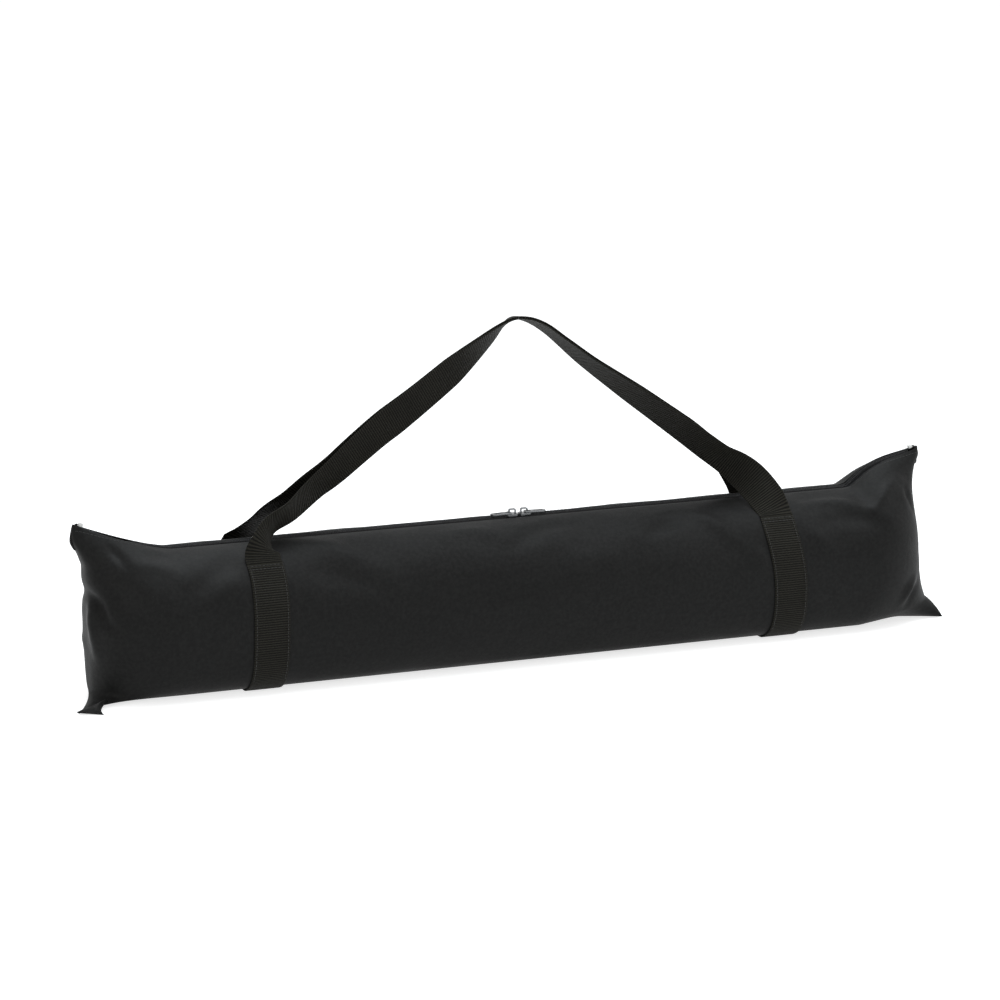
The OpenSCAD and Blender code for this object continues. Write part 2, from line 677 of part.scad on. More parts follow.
// ---- Centre post and its foot ----
post_y = (lean_gap + post_d / 2) * cos(lean);
post_z = roll_z + (lean_gap + post_d / 2) * sin(lean);
module centre_post() {
    color(tube_black)
        translate([-post_len / 2, post_y, post_z]) rotate([0, 90, 0]) difference() {
            cylinder(d = post_d, h = post_len);
            translate([0, 0, -1]) cylinder(d = post_d - 2 * tube_wall, h = post_len + 2);
        }
}

module centre_foot() {
    color(tube_black)
        translate([0, 0, roll_z + roll_r - 0.75 * (layer_t + layer_gap) + fit]) difference() {
            union() {
                linear_extrude(3) hull()
                    for (x = [-1, 1]) translate([x * 50, 0]) circle(r = 12);
                translate([0, 0, 3 - 0.1]) cylinder(d = post_d + 6, h = 12);
            }
            translate([0, 0, 3]) cylinder(d = post_d + 0.6, h = 20);
        }
}

// ---- Straps round the two rows of tubes ----
module strap_outline(extra) {
    hull()
        for (p = [row_a[0], row_a[2], row_b[0], row_b[3]])
            translate([p[0], p[1]]) circle(r = tube_r + extra, $fn = coarse);
}

module tube_strap(end) {
    color(webbing_black)
        translate([end * tube_len / 4 - tie_w / 2, 0, 0]) rotate([90, 0, 90]) linear_extrude(tie_w)
            difference() {
                strap_outline(fit + tie_t);
                strap_outline(fit);
            }
}

module left_tube_strap() { tube_strap(-1); }
module right_tube_strap() { tube_strap(1); }

front_panel();
back_panel();
front_zip_tape();
back_zip_tape();
front_zip_coil();
back_zip_coil();
left_slider();
right_slider();
left_pull_tab();
right_pull_tab();
left_zip_stop();
right_zip_stop();
left_seam_binding();
right_seam_binding();
left_band();
right_band();
front_handle();
back_handle();
net_roll();
net_headband();
left_net_tie();
right_net_tie();
left_tube_strap();
right_tube_strap();
left_upright();
right_upright();
upright_caps();
left_corner_socket();
right_corner_socket();
front_left_foot();
front_right_foot();
back_left_foot();
back_right_foot();
foot_caps();
centre_post();
centre_foot();
for (i = [1:rails]) rail(i);
for (i = [1:rails]) snap_button(i);
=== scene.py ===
import math

import bpy
import numpy as np
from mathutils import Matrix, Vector, noise
from mathutils.bvhtree import BVHTree


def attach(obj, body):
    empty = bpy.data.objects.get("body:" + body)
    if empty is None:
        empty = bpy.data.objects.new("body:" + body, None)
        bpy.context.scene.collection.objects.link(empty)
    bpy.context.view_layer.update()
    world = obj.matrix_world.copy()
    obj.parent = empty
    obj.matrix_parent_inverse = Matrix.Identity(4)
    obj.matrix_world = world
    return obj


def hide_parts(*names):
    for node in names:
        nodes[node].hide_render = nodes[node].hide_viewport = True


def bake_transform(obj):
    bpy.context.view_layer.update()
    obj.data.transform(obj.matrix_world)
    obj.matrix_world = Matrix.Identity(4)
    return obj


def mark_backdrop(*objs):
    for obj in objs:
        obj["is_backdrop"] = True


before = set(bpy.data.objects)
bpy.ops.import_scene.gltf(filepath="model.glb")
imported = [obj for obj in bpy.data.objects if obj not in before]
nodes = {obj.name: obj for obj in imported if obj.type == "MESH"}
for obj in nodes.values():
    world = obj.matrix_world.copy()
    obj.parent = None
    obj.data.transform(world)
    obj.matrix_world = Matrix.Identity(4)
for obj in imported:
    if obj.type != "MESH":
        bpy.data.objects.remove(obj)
scene = bpy.context.scene
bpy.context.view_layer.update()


# ---------------- camera
camera = bpy.data.objects.new("camera", bpy.data.cameras.new("camera"))
scene.collection.objects.link(camera)
camera.location = (-1.8105, -4.3456, 1.2182)
camera.rotation_euler = Vector((0.3717, 0.9028, -0.2164)).to_track_quat("-Z", "Y").to_euler()
camera.data.lens = 157.93
camera.data.sensor_width = 36
camera.data.clip_end = 200
scene.camera = camera


# ---------------- the bag's form, in millimetres as in the CAD source
WALL, FIT, WEB_T = 1.2, 0.3, 1.6
WEB_STEP = WEB_T + FIT
BAG_A, BAG_H, BELLY_Z = 71.8, 157.744, 75.147
FULL_X, BAG_LEN, CORNER_Z = 403.0, 990.0, 191.744
EAR_FROM = 0.78
ROUND_UP, ROUND_DOWN, PRESS, END_ROUND, LAP = 2.2, 3.0, 1.04, 0.8, 0.15
ZIP_GAP = 17.0
COIL_W, COIL_H, COIL_GAP, TAPE_W, TAPE_T = 3.0, 2.6, 1.8, 14.0, 0.6
TAPE_IN = WALL + 0.7
BAND_X = (-312.0, 300.0)
SHOULDER_ANGLE = 57.0
STEP = 5.0


# Form of each end. seam: how far the end seam runs beyond the bag's half length, at shares of its way down.
# ear: how far the corner at its foot reaches out, forward and down, each with the power by which it starts.
END_FORM = {
    -1: {"seam": [(0, 10.5), (0.036, 15.5), (0.075, 17), (0.11, 17.5), (0.145, 14), (0.184, 9.5), (0.222, 7), (0.26, 4),
                  (0.36, 3.4), (0.407, 0.4), (0.444, -0.4), (0.48, 1.5), (0.55, 2.2), (0.77, 1), (1, -0.5)],
         "ear": ((33.5, 1.9), (64, 1.2), (11, 0.55)), "foot": 12.7, "top": CORNER_Z, "rise": 1.3},
    1: {"seam": [(0, -9), (0.014, -4), (0.04, -1.5), (0.07, -2), (0.13, -7), (0.188, -10), (0.245, -13), (0.304, -14.5),
                 (0.363, -13.5), (0.45, -11.5), (0.6, -9), (0.8, -6.5), (0.9, -2), (1, 5)],
        "ear": ((14.5, 1.0), (34, 1.2), (22.5, 1.3)), "foot": 24.0, "top": CORNER_Z + 5, "rise": 1.0},
}


def pressed(share, crown):
    """Share of the way down, flat below the floor line, with a soft turn of the given crown before it."""
    soft = 1 - (1 + crown - share) ** 2 / max(4 * crown, 1e-6)
    return np.where(share > 1 + crown, 1, np.where(share > 1 - crown, soft, share))


def section(angle, inside=0.0):
    """Half-depth and height of the full section at an angle."""
    c, s = np.cos(np.radians(angle)), np.sin(np.radians(angle))
    up = s > 0
    n = np.where(up, 2 / ROUND_UP, 2 / ROUND_DOWN)
    h = np.where(up, BAG_H - BELLY_Z - inside, BELLY_Z - WEB_STEP - inside)
    rise = np.abs(s) ** n
    flat = pressed(PRESS * rise, 0 if inside < 0 else PRESS - 1)
    return (BAG_A - inside) * np.abs(c) ** n, BELLY_Z + h * np.where(up, rise, -flat)


def ridge_angle(y, inside=0.0):
    return math.degrees(math.acos((y / (BAG_A - inside)) ** (ROUND_UP / 2)))


def smooth(low, high, x):
    c = np.clip((x - low) / (high - low), 0, 1)
    return c * c * (3 - 2 * c)


def raised(points):
    """The ridge stands up before the right corner, beyond the slider's travel."""
    x, z = points[..., 0], points[..., 2]
    points[..., 2] += 9 * smooth(396, 432, x) * (1 - smooth(440, 497, x)) * smooth(75, 150, z)
    return points


def skin_point(side, end, t, angle, inside=0.0):
    """Point of the skin. side is -1 for the front, t runs from the full section (0) to the seam (1)."""
    form = END_FORM[end]
    (ear_x, power_x), (ear_y, power_y), (ear_z, power_z) = form["ear"]
    y, z = section(angle, inside)
    q = (90 - angle) / 180
    down = np.minimum(q / EAR_FROM, 1)
    out = np.maximum(0, (q - EAR_FROM) / (1 - EAR_FROM))
    turn = np.radians(90 * out)
    off = LAP + max(WALL - inside, 0)
    seam_x = BAG_LEN / 2 + np.interp(down, *zip(*form["seam"])) + ear_x * out ** power_x
    seam_y = -ear_y * out ** power_y + side * off * np.cos(turn)
    seam_z = form["top"] - (form["top"] - form["foot"]) * down - ear_z * out ** power_z
    seam_z = seam_z - side * off * np.sin(turn) - max(inside - WALL, 0)
    close = np.maximum(np.cos(np.radians(90 * t)), 0) ** END_ROUND
    along = np.sin(np.radians(90 * t))
    return raised(np.stack([end * (FULL_X + (seam_x - min(inside, WALL) * np.cos(turn) - FULL_X) * along),
                            side * y * close + seam_y * along ** 1.7,
                            z + (seam_z - z) * along ** form["rise"]], -1))


def reach_along(points):
    """Length along a polyline up to each of its points."""
    return np.concatenate([[0], np.cumsum(np.linalg.norm(np.diff(points, axis=0), axis=1))])


def even(points, count):
    """count + 1 points evenly spaced along a polyline, and its length."""
    reach = reach_along(points)
    at = np.linspace(0, reach[-1], count + 1)
    return np.stack([np.interp(at, reach, points[:, i]) for i in range(points.shape[1])], -1), reach[-1]


def softened(line, times):
    """Evens out a row of values or points in place; both ends stay."""
    for _ in range(times):
        line[1:-1] = (line[:-2] + 2 * line[1:-1] + line[2:]) / 4
    return line


def directions(line):
    """Unit vector along a polyline at each of its points."""
    d = np.gradient(line, axis=0)
    return d / np.linalg.norm(d, axis=1)[:, None]


def ring_faces(base, rings, sides):
    """Faces between rings of points that follow each other from index base on."""
    return [[base + j * sides + b, base + j * sides + (b + 1) % sides,
             base + (j + 1) * sides + (b + 1) % sides, base + (j + 1) * sides + b]
            for j in range(rings - 1) for b in range(sides)]


def make_mesh(name, verts, faces, uvs=None):
    """Mesh object from points in millimetres. uvs holds one (u, v) in metres per corner, in the faces' order."""
    mesh = bpy.data.meshes.new(name)
    mesh.from_pydata((np.asarray(verts, float) * 0.001).tolist(), [], [list(map(int, f)) for f in faces])
    if uvs is not None:
        layer = mesh.uv_layers.new(name="UVMap")
        layer.data.foreach_set("uv", np.asarray(uvs, np.float32).ravel())
    mesh.polygons.foreach_set("use_smooth", [True] * len(mesh.polygons))
    mesh.update()
    piece = bpy.data.objects.new(name, mesh)
    scene.collection.objects.link(piece)
    return piece


def apply_modifiers(piece):
    depsgraph = bpy.context.evaluated_depsgraph_get()
    mesh = bpy.data.meshes.new_from_object(piece.evaluated_get(depsgraph))
    piece.modifiers.clear()
    old = piece.data
    piece.data = mesh
    bpy.data.meshes.remove(old)
    return piece


# ---------------- materials
def material(name):
    """Empty node material with its shader; returns it and a helper that adds nodes."""
    mat = bpy.data.materials.new(name)
    mat.use_nodes = True
    tree = mat.node_tree
    shader = tree.nodes["Principled BSDF"]

    def add(kind, inputs=None, **settings):
        node = tree.nodes.new(kind)
        for key, value in settings.items():
            setattr(node, key, value)
        for key, value in (inputs or {}).items():
            if isinstance(value, bpy.types.NodeSocket):
                tree.links.new(value, node.inputs[key])
            else:
                node.inputs[key].default_value = value
        return node

    return mat, shader, add, tree.links.new


def ramp(add, value, stops):
    """Colour ramp with (position, grey or colour) stops."""
    node = add("ShaderNodeValToRGB", {0: value})
    elements = node.color_ramp.elements
    while len(elements) < len(stops):
        elements.new(0.5)
    for element, (position, colour) in zip(elements, stops):
        element.position = position
        element.color = (*colour, 1) if isinstance(colour, tuple) else (colour, colour, colour, 1)
    return node.outputs[0]


def maths(add, operation, a, b=None):
    inputs = {0: a}
    if b is not None:
        inputs[1] = b
    return add("ShaderNodeMath", inputs, operation=operation).outputs[0]


def wave(add, value, pitch):
    return maths(add, "SINE", maths(add, "MULTIPLY", value, 2 * math.pi / pitch))


def speckle(add, vector, scale, detail=2.0, rough=0.5):
    inputs = {"Vector": vector, "Scale": scale, "Detail": detail, "Roughness": rough}
    return add("ShaderNodeTexNoise", inputs).outputs[0]


def bumped(add, strength, distance, height, normal=None):
    inputs = {"Strength": strength, "Distance": distance, "Height": height}
    if normal is not None:
        inputs["Normal"] = normal
    return add("ShaderNodeBump", inputs).outputs[0]


def weave_height(add, uv, pitch):
    """Plain weave: warp and weft rise in turn."""
    parts = add("ShaderNodeSeparateXYZ", {0: uv}).outputs
    return maths(add, "MULTIPLY", wave(add, parts[0], pitch), wave(add, parts[1], pitch))


def shell_material():
    mat, shader, add, link = material("coated_polyester")
    uv = add("ShaderNodeTexCoord").outputs["UV"]
    place = add("ShaderNodeTexCoord").outputs["Object"]
    mottle = speckle(add, place, 9.0, 4.0, 0.55)
    fine = speckle(add, place, 260.0, 2.0, 0.6)
    tone = ramp(add, mottle, [(0.3, (0.0098, 0.0098, 0.0096)), (0.72, (0.0144, 0.0144, 0.0142))])
    speck = ramp(add, fine, [(0.35, 0.78), (0.7, (1.22, 1.22, 1.20))])
    base = add("ShaderNodeMix", {"Factor": 1.0, 6: tone, 7: speck}, data_type="RGBA", blend_type="MULTIPLY")
    link(base.outputs[2], shader.inputs["Base Color"])
    rough = ramp(add, mottle, [(0.3, 0.48), (0.75, 0.64)])
    link(rough, shader.inputs["Roughness"])
    weave = weave_height(add, uv, 0.0011)
    crumple = speckle(add, place, 42.0, 3.0)
    drawn = add("ShaderNodeMapping", {"Vector": uv, "Scale": (60, 900, 1)}).outputs[0]
    slub = speckle(add, drawn, 1.0)
    normal = bumped(add, 0.22, 0.00012, weave)
    normal = bumped(add, 0.45, 0.0016, crumple, normal)
    normal = bumped(add, 0.15, 0.0001, slub, normal)
    link(normal, shader.inputs["Normal"])
    shader.inputs["Specular IOR Level"].default_value = 0.1
    shader.inputs["Sheen Weight"].default_value = 0.02
    shader.inputs["Sheen Roughness"].default_value = 0.45
    return mat


def webbing_material(name, tint=(1.0, 0.95, 0.72), pitch=0.0026):
    """Ribbed webbing, with painted shade in the grooves between its ribs. u runs across it and v along it, both in
    metres.
    """
    mat, shader, add, link = material(name)
    uv = add("ShaderNodeTexCoord").outputs["UV"]
    parts = add("ShaderNodeSeparateXYZ", {0: uv})
    u, v = parts.outputs[0], parts.outputs[1]
    rib = wave(add, v, pitch)
    rib01 = maths(add, "MULTIPLY_ADD", rib, 0.5)
    rib01.node.inputs[2].default_value = 0.5
    yarn = wave(add, u, 0.0017)
    edge = maths(add, "GREATER_THAN", maths(add, "ABSOLUTE", u), 0.0178)
    flat = maths(add, "SUBTRACT", 1.0, edge)
    fuzz = speckle(add, uv, 700.0, 2.0, 0.6)
    broad = speckle(add, uv, 22.0, 3.0)
    # Colour follows the rib height, from low in the grooves to high on the crests: painted shade in the grooves, on top
    # of the ribs' bump
    low = tuple(0.0020 * c for c in tint)
    high = tuple(0.0245 * c for c in tint)
    tone = ramp(add, rib01, [(0.12, low), (0.85, high)])
    shade = ramp(add, broad, [(0.3, 0.85), (0.7, 1.15)])
    base = add("ShaderNodeMix", {"Factor": 1.0, 6: tone, 7: shade}, data_type="RGBA", blend_type="MULTIPLY")
    link(base.outputs[2], shader.inputs["Base Color"])
    link(ramp(add, fuzz, [(0.3, 0.55), (0.7, 0.75)]), shader.inputs["Roughness"])
    ribs = maths(add, "MULTIPLY", rib01, flat)
    normal = bumped(add, 1.0, 0.0006, ribs)
    normal = bumped(add, 0.35, 0.0002, yarn, normal)
    normal = bumped(add, 0.3, 0.0002, fuzz, normal)
    link(normal, shader.inputs["Normal"])
    shader.inputs["Specular IOR Level"].default_value = 0.1
    shader.inputs["Sheen Weight"].default_value = 0.012
    shader.inputs["Sheen Roughness"].default_value = 0.5
    return mat


def plain_material(name, low, high, rough, metallic=0.0, scale=60.0, bump=0.0, distance=0.0002, specular=0.5,
                   stretch=(1, 1, 1)):
    """Noise-varied material: colours low to high, roughness range, and a bump from the same kind of noise."""
    mat, shader, add, link = material(name)
    place = add("ShaderNodeTexCoord").outputs["Object"]
    place = add("ShaderNodeMapping", {"Vector": place, "Scale": stretch}).outputs[0]
    broad = speckle(add, place, scale, 4.0, 0.6)
    fine = speckle(add, place, scale * 14)
    link(ramp(add, broad, [(0.3, low), (0.7, high)]), shader.inputs["Base Color"])
    link(ramp(add, fine, [(0.3, rough[0]), (0.7, rough[1])]), shader.inputs["Roughness"])
    if bump:
        link(bumped(add, bump, distance, fine), shader.inputs["Normal"])
    shader.inputs["Metallic"].default_value = metallic
    shader.inputs["Specular IOR Level"].default_value = specular
    return mat


SHELL = shell_material()
# Both webbings, the band and handle webbing and the zip tape, carry painted shade in their rib grooves
WEBBING = webbing_material("ribbed_webbing")
TAPE = webbing_material("zip_tape_weave", tint=(1.25, 1.3, 1.35), pitch=0.0011)
THREAD = plain_material("thread", 0.014, (0.026, 0.026, 0.025), (0.4, 0.6), scale=900, bump=0.5)
COIL = plain_material("coil_nylon", (0.013, 0.013, 0.014), (0.022, 0.022, 0.023), (0.40, 0.56), scale=300, bump=0.2,
                      specular=0.3)
ZIP_METAL = plain_material("gunmetal", (0.13, 0.135, 0.14), (0.22, 0.225, 0.23), (0.18, 0.32), metallic=1.0, scale=240,
                           bump=0.12, stretch=(1, 4, 1))
STOP = plain_material("white_stop", (0.78, 0.78, 0.76), (0.86, 0.86, 0.84), (0.25, 0.4), scale=300, bump=0.1)
TUBE = plain_material("powder_coat", (0.013, 0.013, 0.014), (0.022, 0.022, 0.023), (0.34, 0.5), scale=90, bump=0.35)
STEEL = plain_material("spring_steel", (0.50, 0.51, 0.52), (0.62, 0.63, 0.64), (0.18, 0.32), metallic=1.0, scale=200,
                       bump=0.1, stretch=(6, 1, 1))
CAP = plain_material("moulded_cap", 0.015, 0.025, (0.45, 0.6), scale=120, bump=0.3)
RUBBER = plain_material("rubber_cap", 0.012, (0.020, 0.020, 0.019), (0.62, 0.8), scale=150, bump=0.4)
NET = plain_material("net_cord", (0.010, 0.010, 0.011), (0.030, 0.030, 0.031), (0.6, 0.8), scale=260, bump=0.9,
                     distance=0.0008)
HEADBAND = plain_material("headband_tape", (0.72, 0.72, 0.70), (0.84, 0.84, 0.82), (0.5, 0.65), scale=160, bump=0.4)

# Material of each CAD node: the first line with a word that is in its name; tubes and sockets match none
NODE_MATERIALS = [(("slider", "pull_tab"), ZIP_METAL), (("zip_stop",), STOP), (("snap_button",), STEEL),
                  (("upright_caps",), CAP), (("foot_caps",), RUBBER), (("net_roll",), NET),
                  (("net_headband",), HEADBAND),
                  (("tie", "strap", "binding", "band", "handle"), WEBBING), (("coil",), COIL), (("zip_tape",), TAPE),
                  (("panel",), SHELL)]
for name, node in nodes.items():
    mat = next((mat for words, mat in NODE_MATERIALS if any(word in name for word in words)), TUBE)
    node.data.materials.clear()
    node.data.materials.append(mat)


def dress(piece, mat, body, slot, *replaced):
    piece.data.materials.clear()
    piece.data.materials.append(mat)
    if body:
        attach(piece, body)
    if replaced:
        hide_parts(*replaced)
    return piece


# ---------------- bag shell
PANEL_TOP = ridge_angle(ZIP_GAP / 2)


def row_angles():
    """Angles of the rows, evenly spaced round the full section, with a few close rows at the zip's edge."""
    fine = np.linspace(PANEL_TOP, -90, 4000)
    y, z = section(fine)
    reach = np.concatenate([[0], np.cumsum(np.hypot(np.diff(y), np.diff(z)))])
    rows = int(round(reach[-1] / STEP))
    at = np.concatenate([[0, 1.2, 3.0], np.linspace(STEP, reach[-1], rows)])
    return np.interp(at, reach, fine), at


ANGLES, ROW_AT = row_angles()
END_COLUMNS = 25
MID_COLUMNS = 150
MID_X = np.linspace(-FULL_X, FULL_X, MID_COLUMNS + 1)[1:-1]
END_CLOTH = 121.0         # length of the cloth from the full section to the seam
HEM_LIFT, HEM_REACH = 7.0, 28.0    # how far the hem rises round the zip at the corners, and down to which row


def panel_grid(side):
    """Grid of start points and of the flat pattern, columns from the left seam to the right one."""
    rows = len(ANGLES)
    left, right = np.zeros((2, END_COLUMNS + 1, rows, 3))
    t = np.linspace(0, 1, 400)
    for k, angle in enumerate(ANGLES):
        for end, grid in ((-1, left), (1, right)):
            line = skin_point(side, end, t, np.full_like(t, angle))
            line[:, 2] += HEM_LIFT * np.sin(np.radians(90 * t)) ** 1.3 * (1 - smooth(0, HEM_REACH, ROW_AT[k]))
            grid[:, k] = even(line, END_COLUMNS)[0]
    mid = np.zeros((MID_COLUMNS - 1, rows, 3))
    y, z = section(ANGLES)
    mid[:, :, 0] = MID_X[:, None]
    mid[:, :, 1] = side * y
    mid[:, :, 2] = z
    grid = np.concatenate([left[::-1], raised(mid), right])
    ends = np.linspace(0, END_CLOTH, END_COLUMNS + 1)
    flat_x = np.concatenate([-FULL_X - ends[::-1], MID_X, FULL_X + ends])
    flat = np.zeros_like(grid)
    flat[:, :, 0] = flat_x[:, None]
    flat[:, :, 1] = side * 0.5
    flat[:, :, 2] = -ROW_AT[None, :]
    return grid, flat


front, front_flat = panel_grid(-1)
back, back_flat = panel_grid(1)
COLUMNS, ROWS = front.shape[:2]

# Both panels as one mesh, welded along the two end seams and along the bottom
verts, flat_verts = [], []
ids = np.zeros((2, COLUMNS, ROWS), int)
for s, (grid, flat) in enumerate(((front, front_flat), (back, back_flat))):
    for i in range(COLUMNS):
        for k in range(ROWS):
            edge = (i in (0, COLUMNS - 1)) or k == ROWS - 1
            if s == 1 and edge:
                ids[1, i, k] = ids[0, i, k]
                j = ids[0, i, k]
                verts[j] = (verts[j] + grid[i, k]) / 2
            else:
                ids[s, i, k] = len(verts)
                verts.append(grid[i, k].copy())
                flat_verts.append(flat[i, k].copy())
verts, flat_verts = np.array(verts), np.array(flat_verts)
faces, uvs = [], []
for s in (0, 1):
    flat = (front_flat, back_flat)[s]
    for i in range(COLUMNS - 1):
        for k in range(ROWS - 1):
            corners = [(i, k), (i, k + 1), (i + 1, k + 1), (i + 1, k)]
            if s == 1:
                corners = corners[::-1]
            faces.append([ids[s, a, b] for a, b in corners])
            uvs += [(flat[a, b, 0] * 0.001, flat[a, b, 2] * 0.001) for a, b in corners]
column_of = np.zeros(len(verts), int)
row_of = np.zeros(len(verts), int)
for s in (1, 0):
    for i in range(COLUMNS):
        column_of[ids[s, i]] = i
        row_of[ids[s, i]] = np.arange(ROWS)
FROM_SEAM = np.minimum(column_of, COLUMNS - 1 - column_of)     # columns between a point and the nearer end seam


shell = make_mesh("bag_shell", verts, faces, uvs)
start = verts.copy()
CLOTH_FRAMES, CLOTH_CAP = 22, 9.0     # length of the simulation, and how far a point may move
LOWEST = 0.6                          # height of the cloth's middle above the floor where it stands


def set_shape(shape):
    shell.data.vertices.foreach_set("co", (shape * 0.001).astype(np.float32).ravel())
    shell.data.update()


def simulate():
    """Cloth relaxes from the CAD form towards its flat pattern under pressure, held where the real bag is held."""
    x, z = start[:, 0], start[:, 2]
    hold = 1 - smooth(1.5, 4.5, row_of)                                        # zip hem
    hold = np.maximum(hold, 1 - smooth(5, 16, z))                              # what it stands on
    for bx in BAND_X:                                                          # under the bands
        under = (1 - smooth(20, 27, np.abs(x - bx))) * (ANGLES[row_of] < SHOULDER_ANGLE + 4)
        hold = np.maximum(hold, under)
    hold = np.maximum(hold, 1 - smooth(0, 2, FROM_SEAM))                       # end seams
    ear = smooth(0.80, 0.9, (90 - ANGLES[row_of]) / 180) * (1 - smooth(6, 14, FROM_SEAM))
    hold = np.maximum(hold, ear)
    group = shell.vertex_groups.new(name="hold")
    for i, w in enumerate(hold):
        if w > 0.01:
            group.add([i], float(w), "REPLACE")
    shell.shape_key_add(name="Basis")
    rest = shell.shape_key_add(name="flat")
    rest.data.foreach_set("co", (flat_verts * 0.001).ravel())
    rest.value = 0
    cloth = shell.modifiers.new("cloth", "CLOTH")
    settings = cloth.settings
    for key, value in {"quality": 6, "mass": 0.12, "air_damping": 4, "tension_stiffness": 12,
                       "compression_stiffness": 8, "shear_stiffness": 3, "bending_stiffness": 0.6,
                       "tension_damping": 12, "compression_damping": 12, "shear_damping": 12,
                       "vertex_group_mass": "hold", "pin_stiffness": 2.0, "use_pressure": True,
                       "uniform_pressure_force": 3.0, "rest_shape_key": rest}.items():
        setattr(settings, key, value)
    settings.effector_weights.gravity = 0
    cloth.collision_settings.use_collision = False
    cloth.collision_settings.use_self_collision = False
    cloth.point_cache.frame_start = 1
    cloth.point_cache.frame_end = CLOTH_FRAMES
    for f in range(1, CLOTH_FRAMES + 1):
        scene.frame_set(f)
    done = shell.evaluated_get(bpy.context.evaluated_depsgraph_get())
    co = np.zeros(len(start) * 3)
    done.data.vertices.foreach_get("co", co)
    co = co.reshape(-1, 3) * 1000
    shell.modifiers.clear()
    shell.shape_key_clear()
    shell.vertex_groups.clear()
    scene.frame_set(1)
    move = co - start
    size = np.linalg.norm(move, axis=1)
    print("cloth moved, mm:", np.percentile(size, [50, 90, 99, 100]).round(2))
    move *= (CLOTH_CAP * np.tanh(size / CLOTH_CAP) / np.maximum(size, 1e-6))[:, None]
    return start + move


# Folds of the cloth: two ends in millimetres, half width, and height out of the surface (below zero for a valley)
FOLDS = [((-494, -5, 116), (-486, -44, 92), 4.0, -5.0), ((-496, -14, 104), (-494, -24, 56), 8, 3.5),
         ((-486, -46, 90), (-478, -52, 84), 4, -2), ((-332, -58, 128), (-404, -71, 92), 12, 1.5),
         ((-330, -34, 150), (-399, -65, 113), 12, -1.8), ((-452, -30, 152), (-405, -48, 136), 9, 1.2),
         ((-443, -19, 161), (-413, -22, 156), 3, 1.8), ((-436, -28, 154), (-402, -32, 149), 5, -0.9),
         ((-478, -14, 170), (-462, -34, 150), 5, -2.5), ((-470, -50, 128), (-440, -66, 104), 9, -2),
         ((328, -38, 148), (412, -51, 138), 6, 3.0), ((412, -51, 138), (456, -22, 166), 6, 3.8),
         ((350, -56, 131), (416, -60, 124), 9, -2.6), ((430, -44, 140), (458, -36, 146), 5, -2.4),
         ((461, -33, 154), (467, -42, 138), 3.5, -3), ((466, -54, 52), (450, -58, 32), 4.5, 4),
         ((474, -48, 46), (457, -57, 26), 4.5, -3.2), ((326, -62, 122), (350, -69, 104), 8, 1.6),
         ((-20, -50, 140), (60, -36, 150), 9, -2.4), ((-100, -34, 150), (-30, -44, 144), 9, 2.2),
         ((140, -50, 138), (186, -40, 146), 8, -2.4), ((196, -34, 150), (238, -62, 122), 8, 2.6),
         ((-262, -30, 152), (-190, -58, 130), 12, 2.0), ((-250, -60, 128), (-180, -70, 98), 12, -2.0),
         ((250, -66, 112), (276, -71, 84), 8, 2.0), ((96, -64, 120), (30, -71, 96), 14, 1.6),
         ((-420, 66, 112), (-350, 70, 96), 10, -3), ((-436, 40, 146), (-380, 60, 124), 9, 2.6),
         ((-486, 30, 108), (-462, 56, 84), 5, -4), ((-492, 10, 60), (-476, 40, 52), 6, 2.6),
         ((360, 62, 118), (430, 52, 132), 9, -2.8), ((400, 68, 96), (456, 50, 84), 8, 2.4),
         ((474, 26, 120), (452, 54, 96), 5, -3.6), ((-240, 52, 136), (-150, 66, 116), 12, 2.2),
         ((-60, 46, 142), (40, 62, 122), 12, -2.4), ((90, 58, 128), (180, 44, 142), 10, 2.4),
         ((200, 66, 112), (262, 70, 90), 9, -2.2)]


FOLD_DEPTH = 1.35     # all folds are this much deeper than listed


def fold_line(a, b):
    """Points of a slightly bowed line between two ends, each moved onto the cloth."""
    share = np.linspace(0, 1, 32)
    line = a + (b - a) * share[:, None]
    line[:, 2] += 0.08 * np.linalg.norm(b - a) * np.sin(math.pi * share)
    cloth = start[np.sign(start[:, 1]) == np.sign(a[1] + b[1])]
    for k, p in enumerate(line):
        away = (cloth - p) ** 2 @ [1, 0.15, 1]
        nearest = np.argsort(away)[:3]
        line[k, 1] = np.mean(cloth[nearest, 1])
    return softened(line, 4)


def creased(shape):
    """Folds and the cloth's slack unevenness, out of the surface, and none where the cloth is held."""
    set_shape(shape)
    normal = np.zeros(len(shape) * 3)
    shell.data.vertices.foreach_get("normal", normal)
    normal = normal.reshape(-1, 3)
    lift = np.zeros(len(shape))
    for a, b, width, height in FOLDS:
        line = fold_line(np.array(a, float), np.array(b, float))
        away = np.linalg.norm(start[:, None] - line[None], axis=2)
        share = np.argmin(away, axis=1) / (len(line) - 1)
        near = np.min(away, axis=1) / width
        lift += FOLD_DEPTH * height * np.exp(-near ** 2) * (0.35 + 0.65 * np.sin(math.pi * np.clip(share, 0.08, 0.92)))
    slack = smooth(40, 130, start[:, 2])
    for scale, amount in ((0.011, 2.0), (0.028, 1.3), (0.07, 0.3)):
        stretched = start * [scale * 0.7, scale, scale * 1.25]
        lift += (0.35 + 0.65 * slack) * amount * np.array([noise.noise(Vector(p)) for p in stretched])
    free = smooth(1.5, 6, row_of) * smooth(5, 20, start[:, 2])
    for bx in BAND_X:
        free *= smooth(21, 34, np.abs(start[:, 0] - bx))
    free *= 0.25 + 0.75 * smooth(0, 3, FROM_SEAM)
    return shape + normal * (lift * free)[:, None]


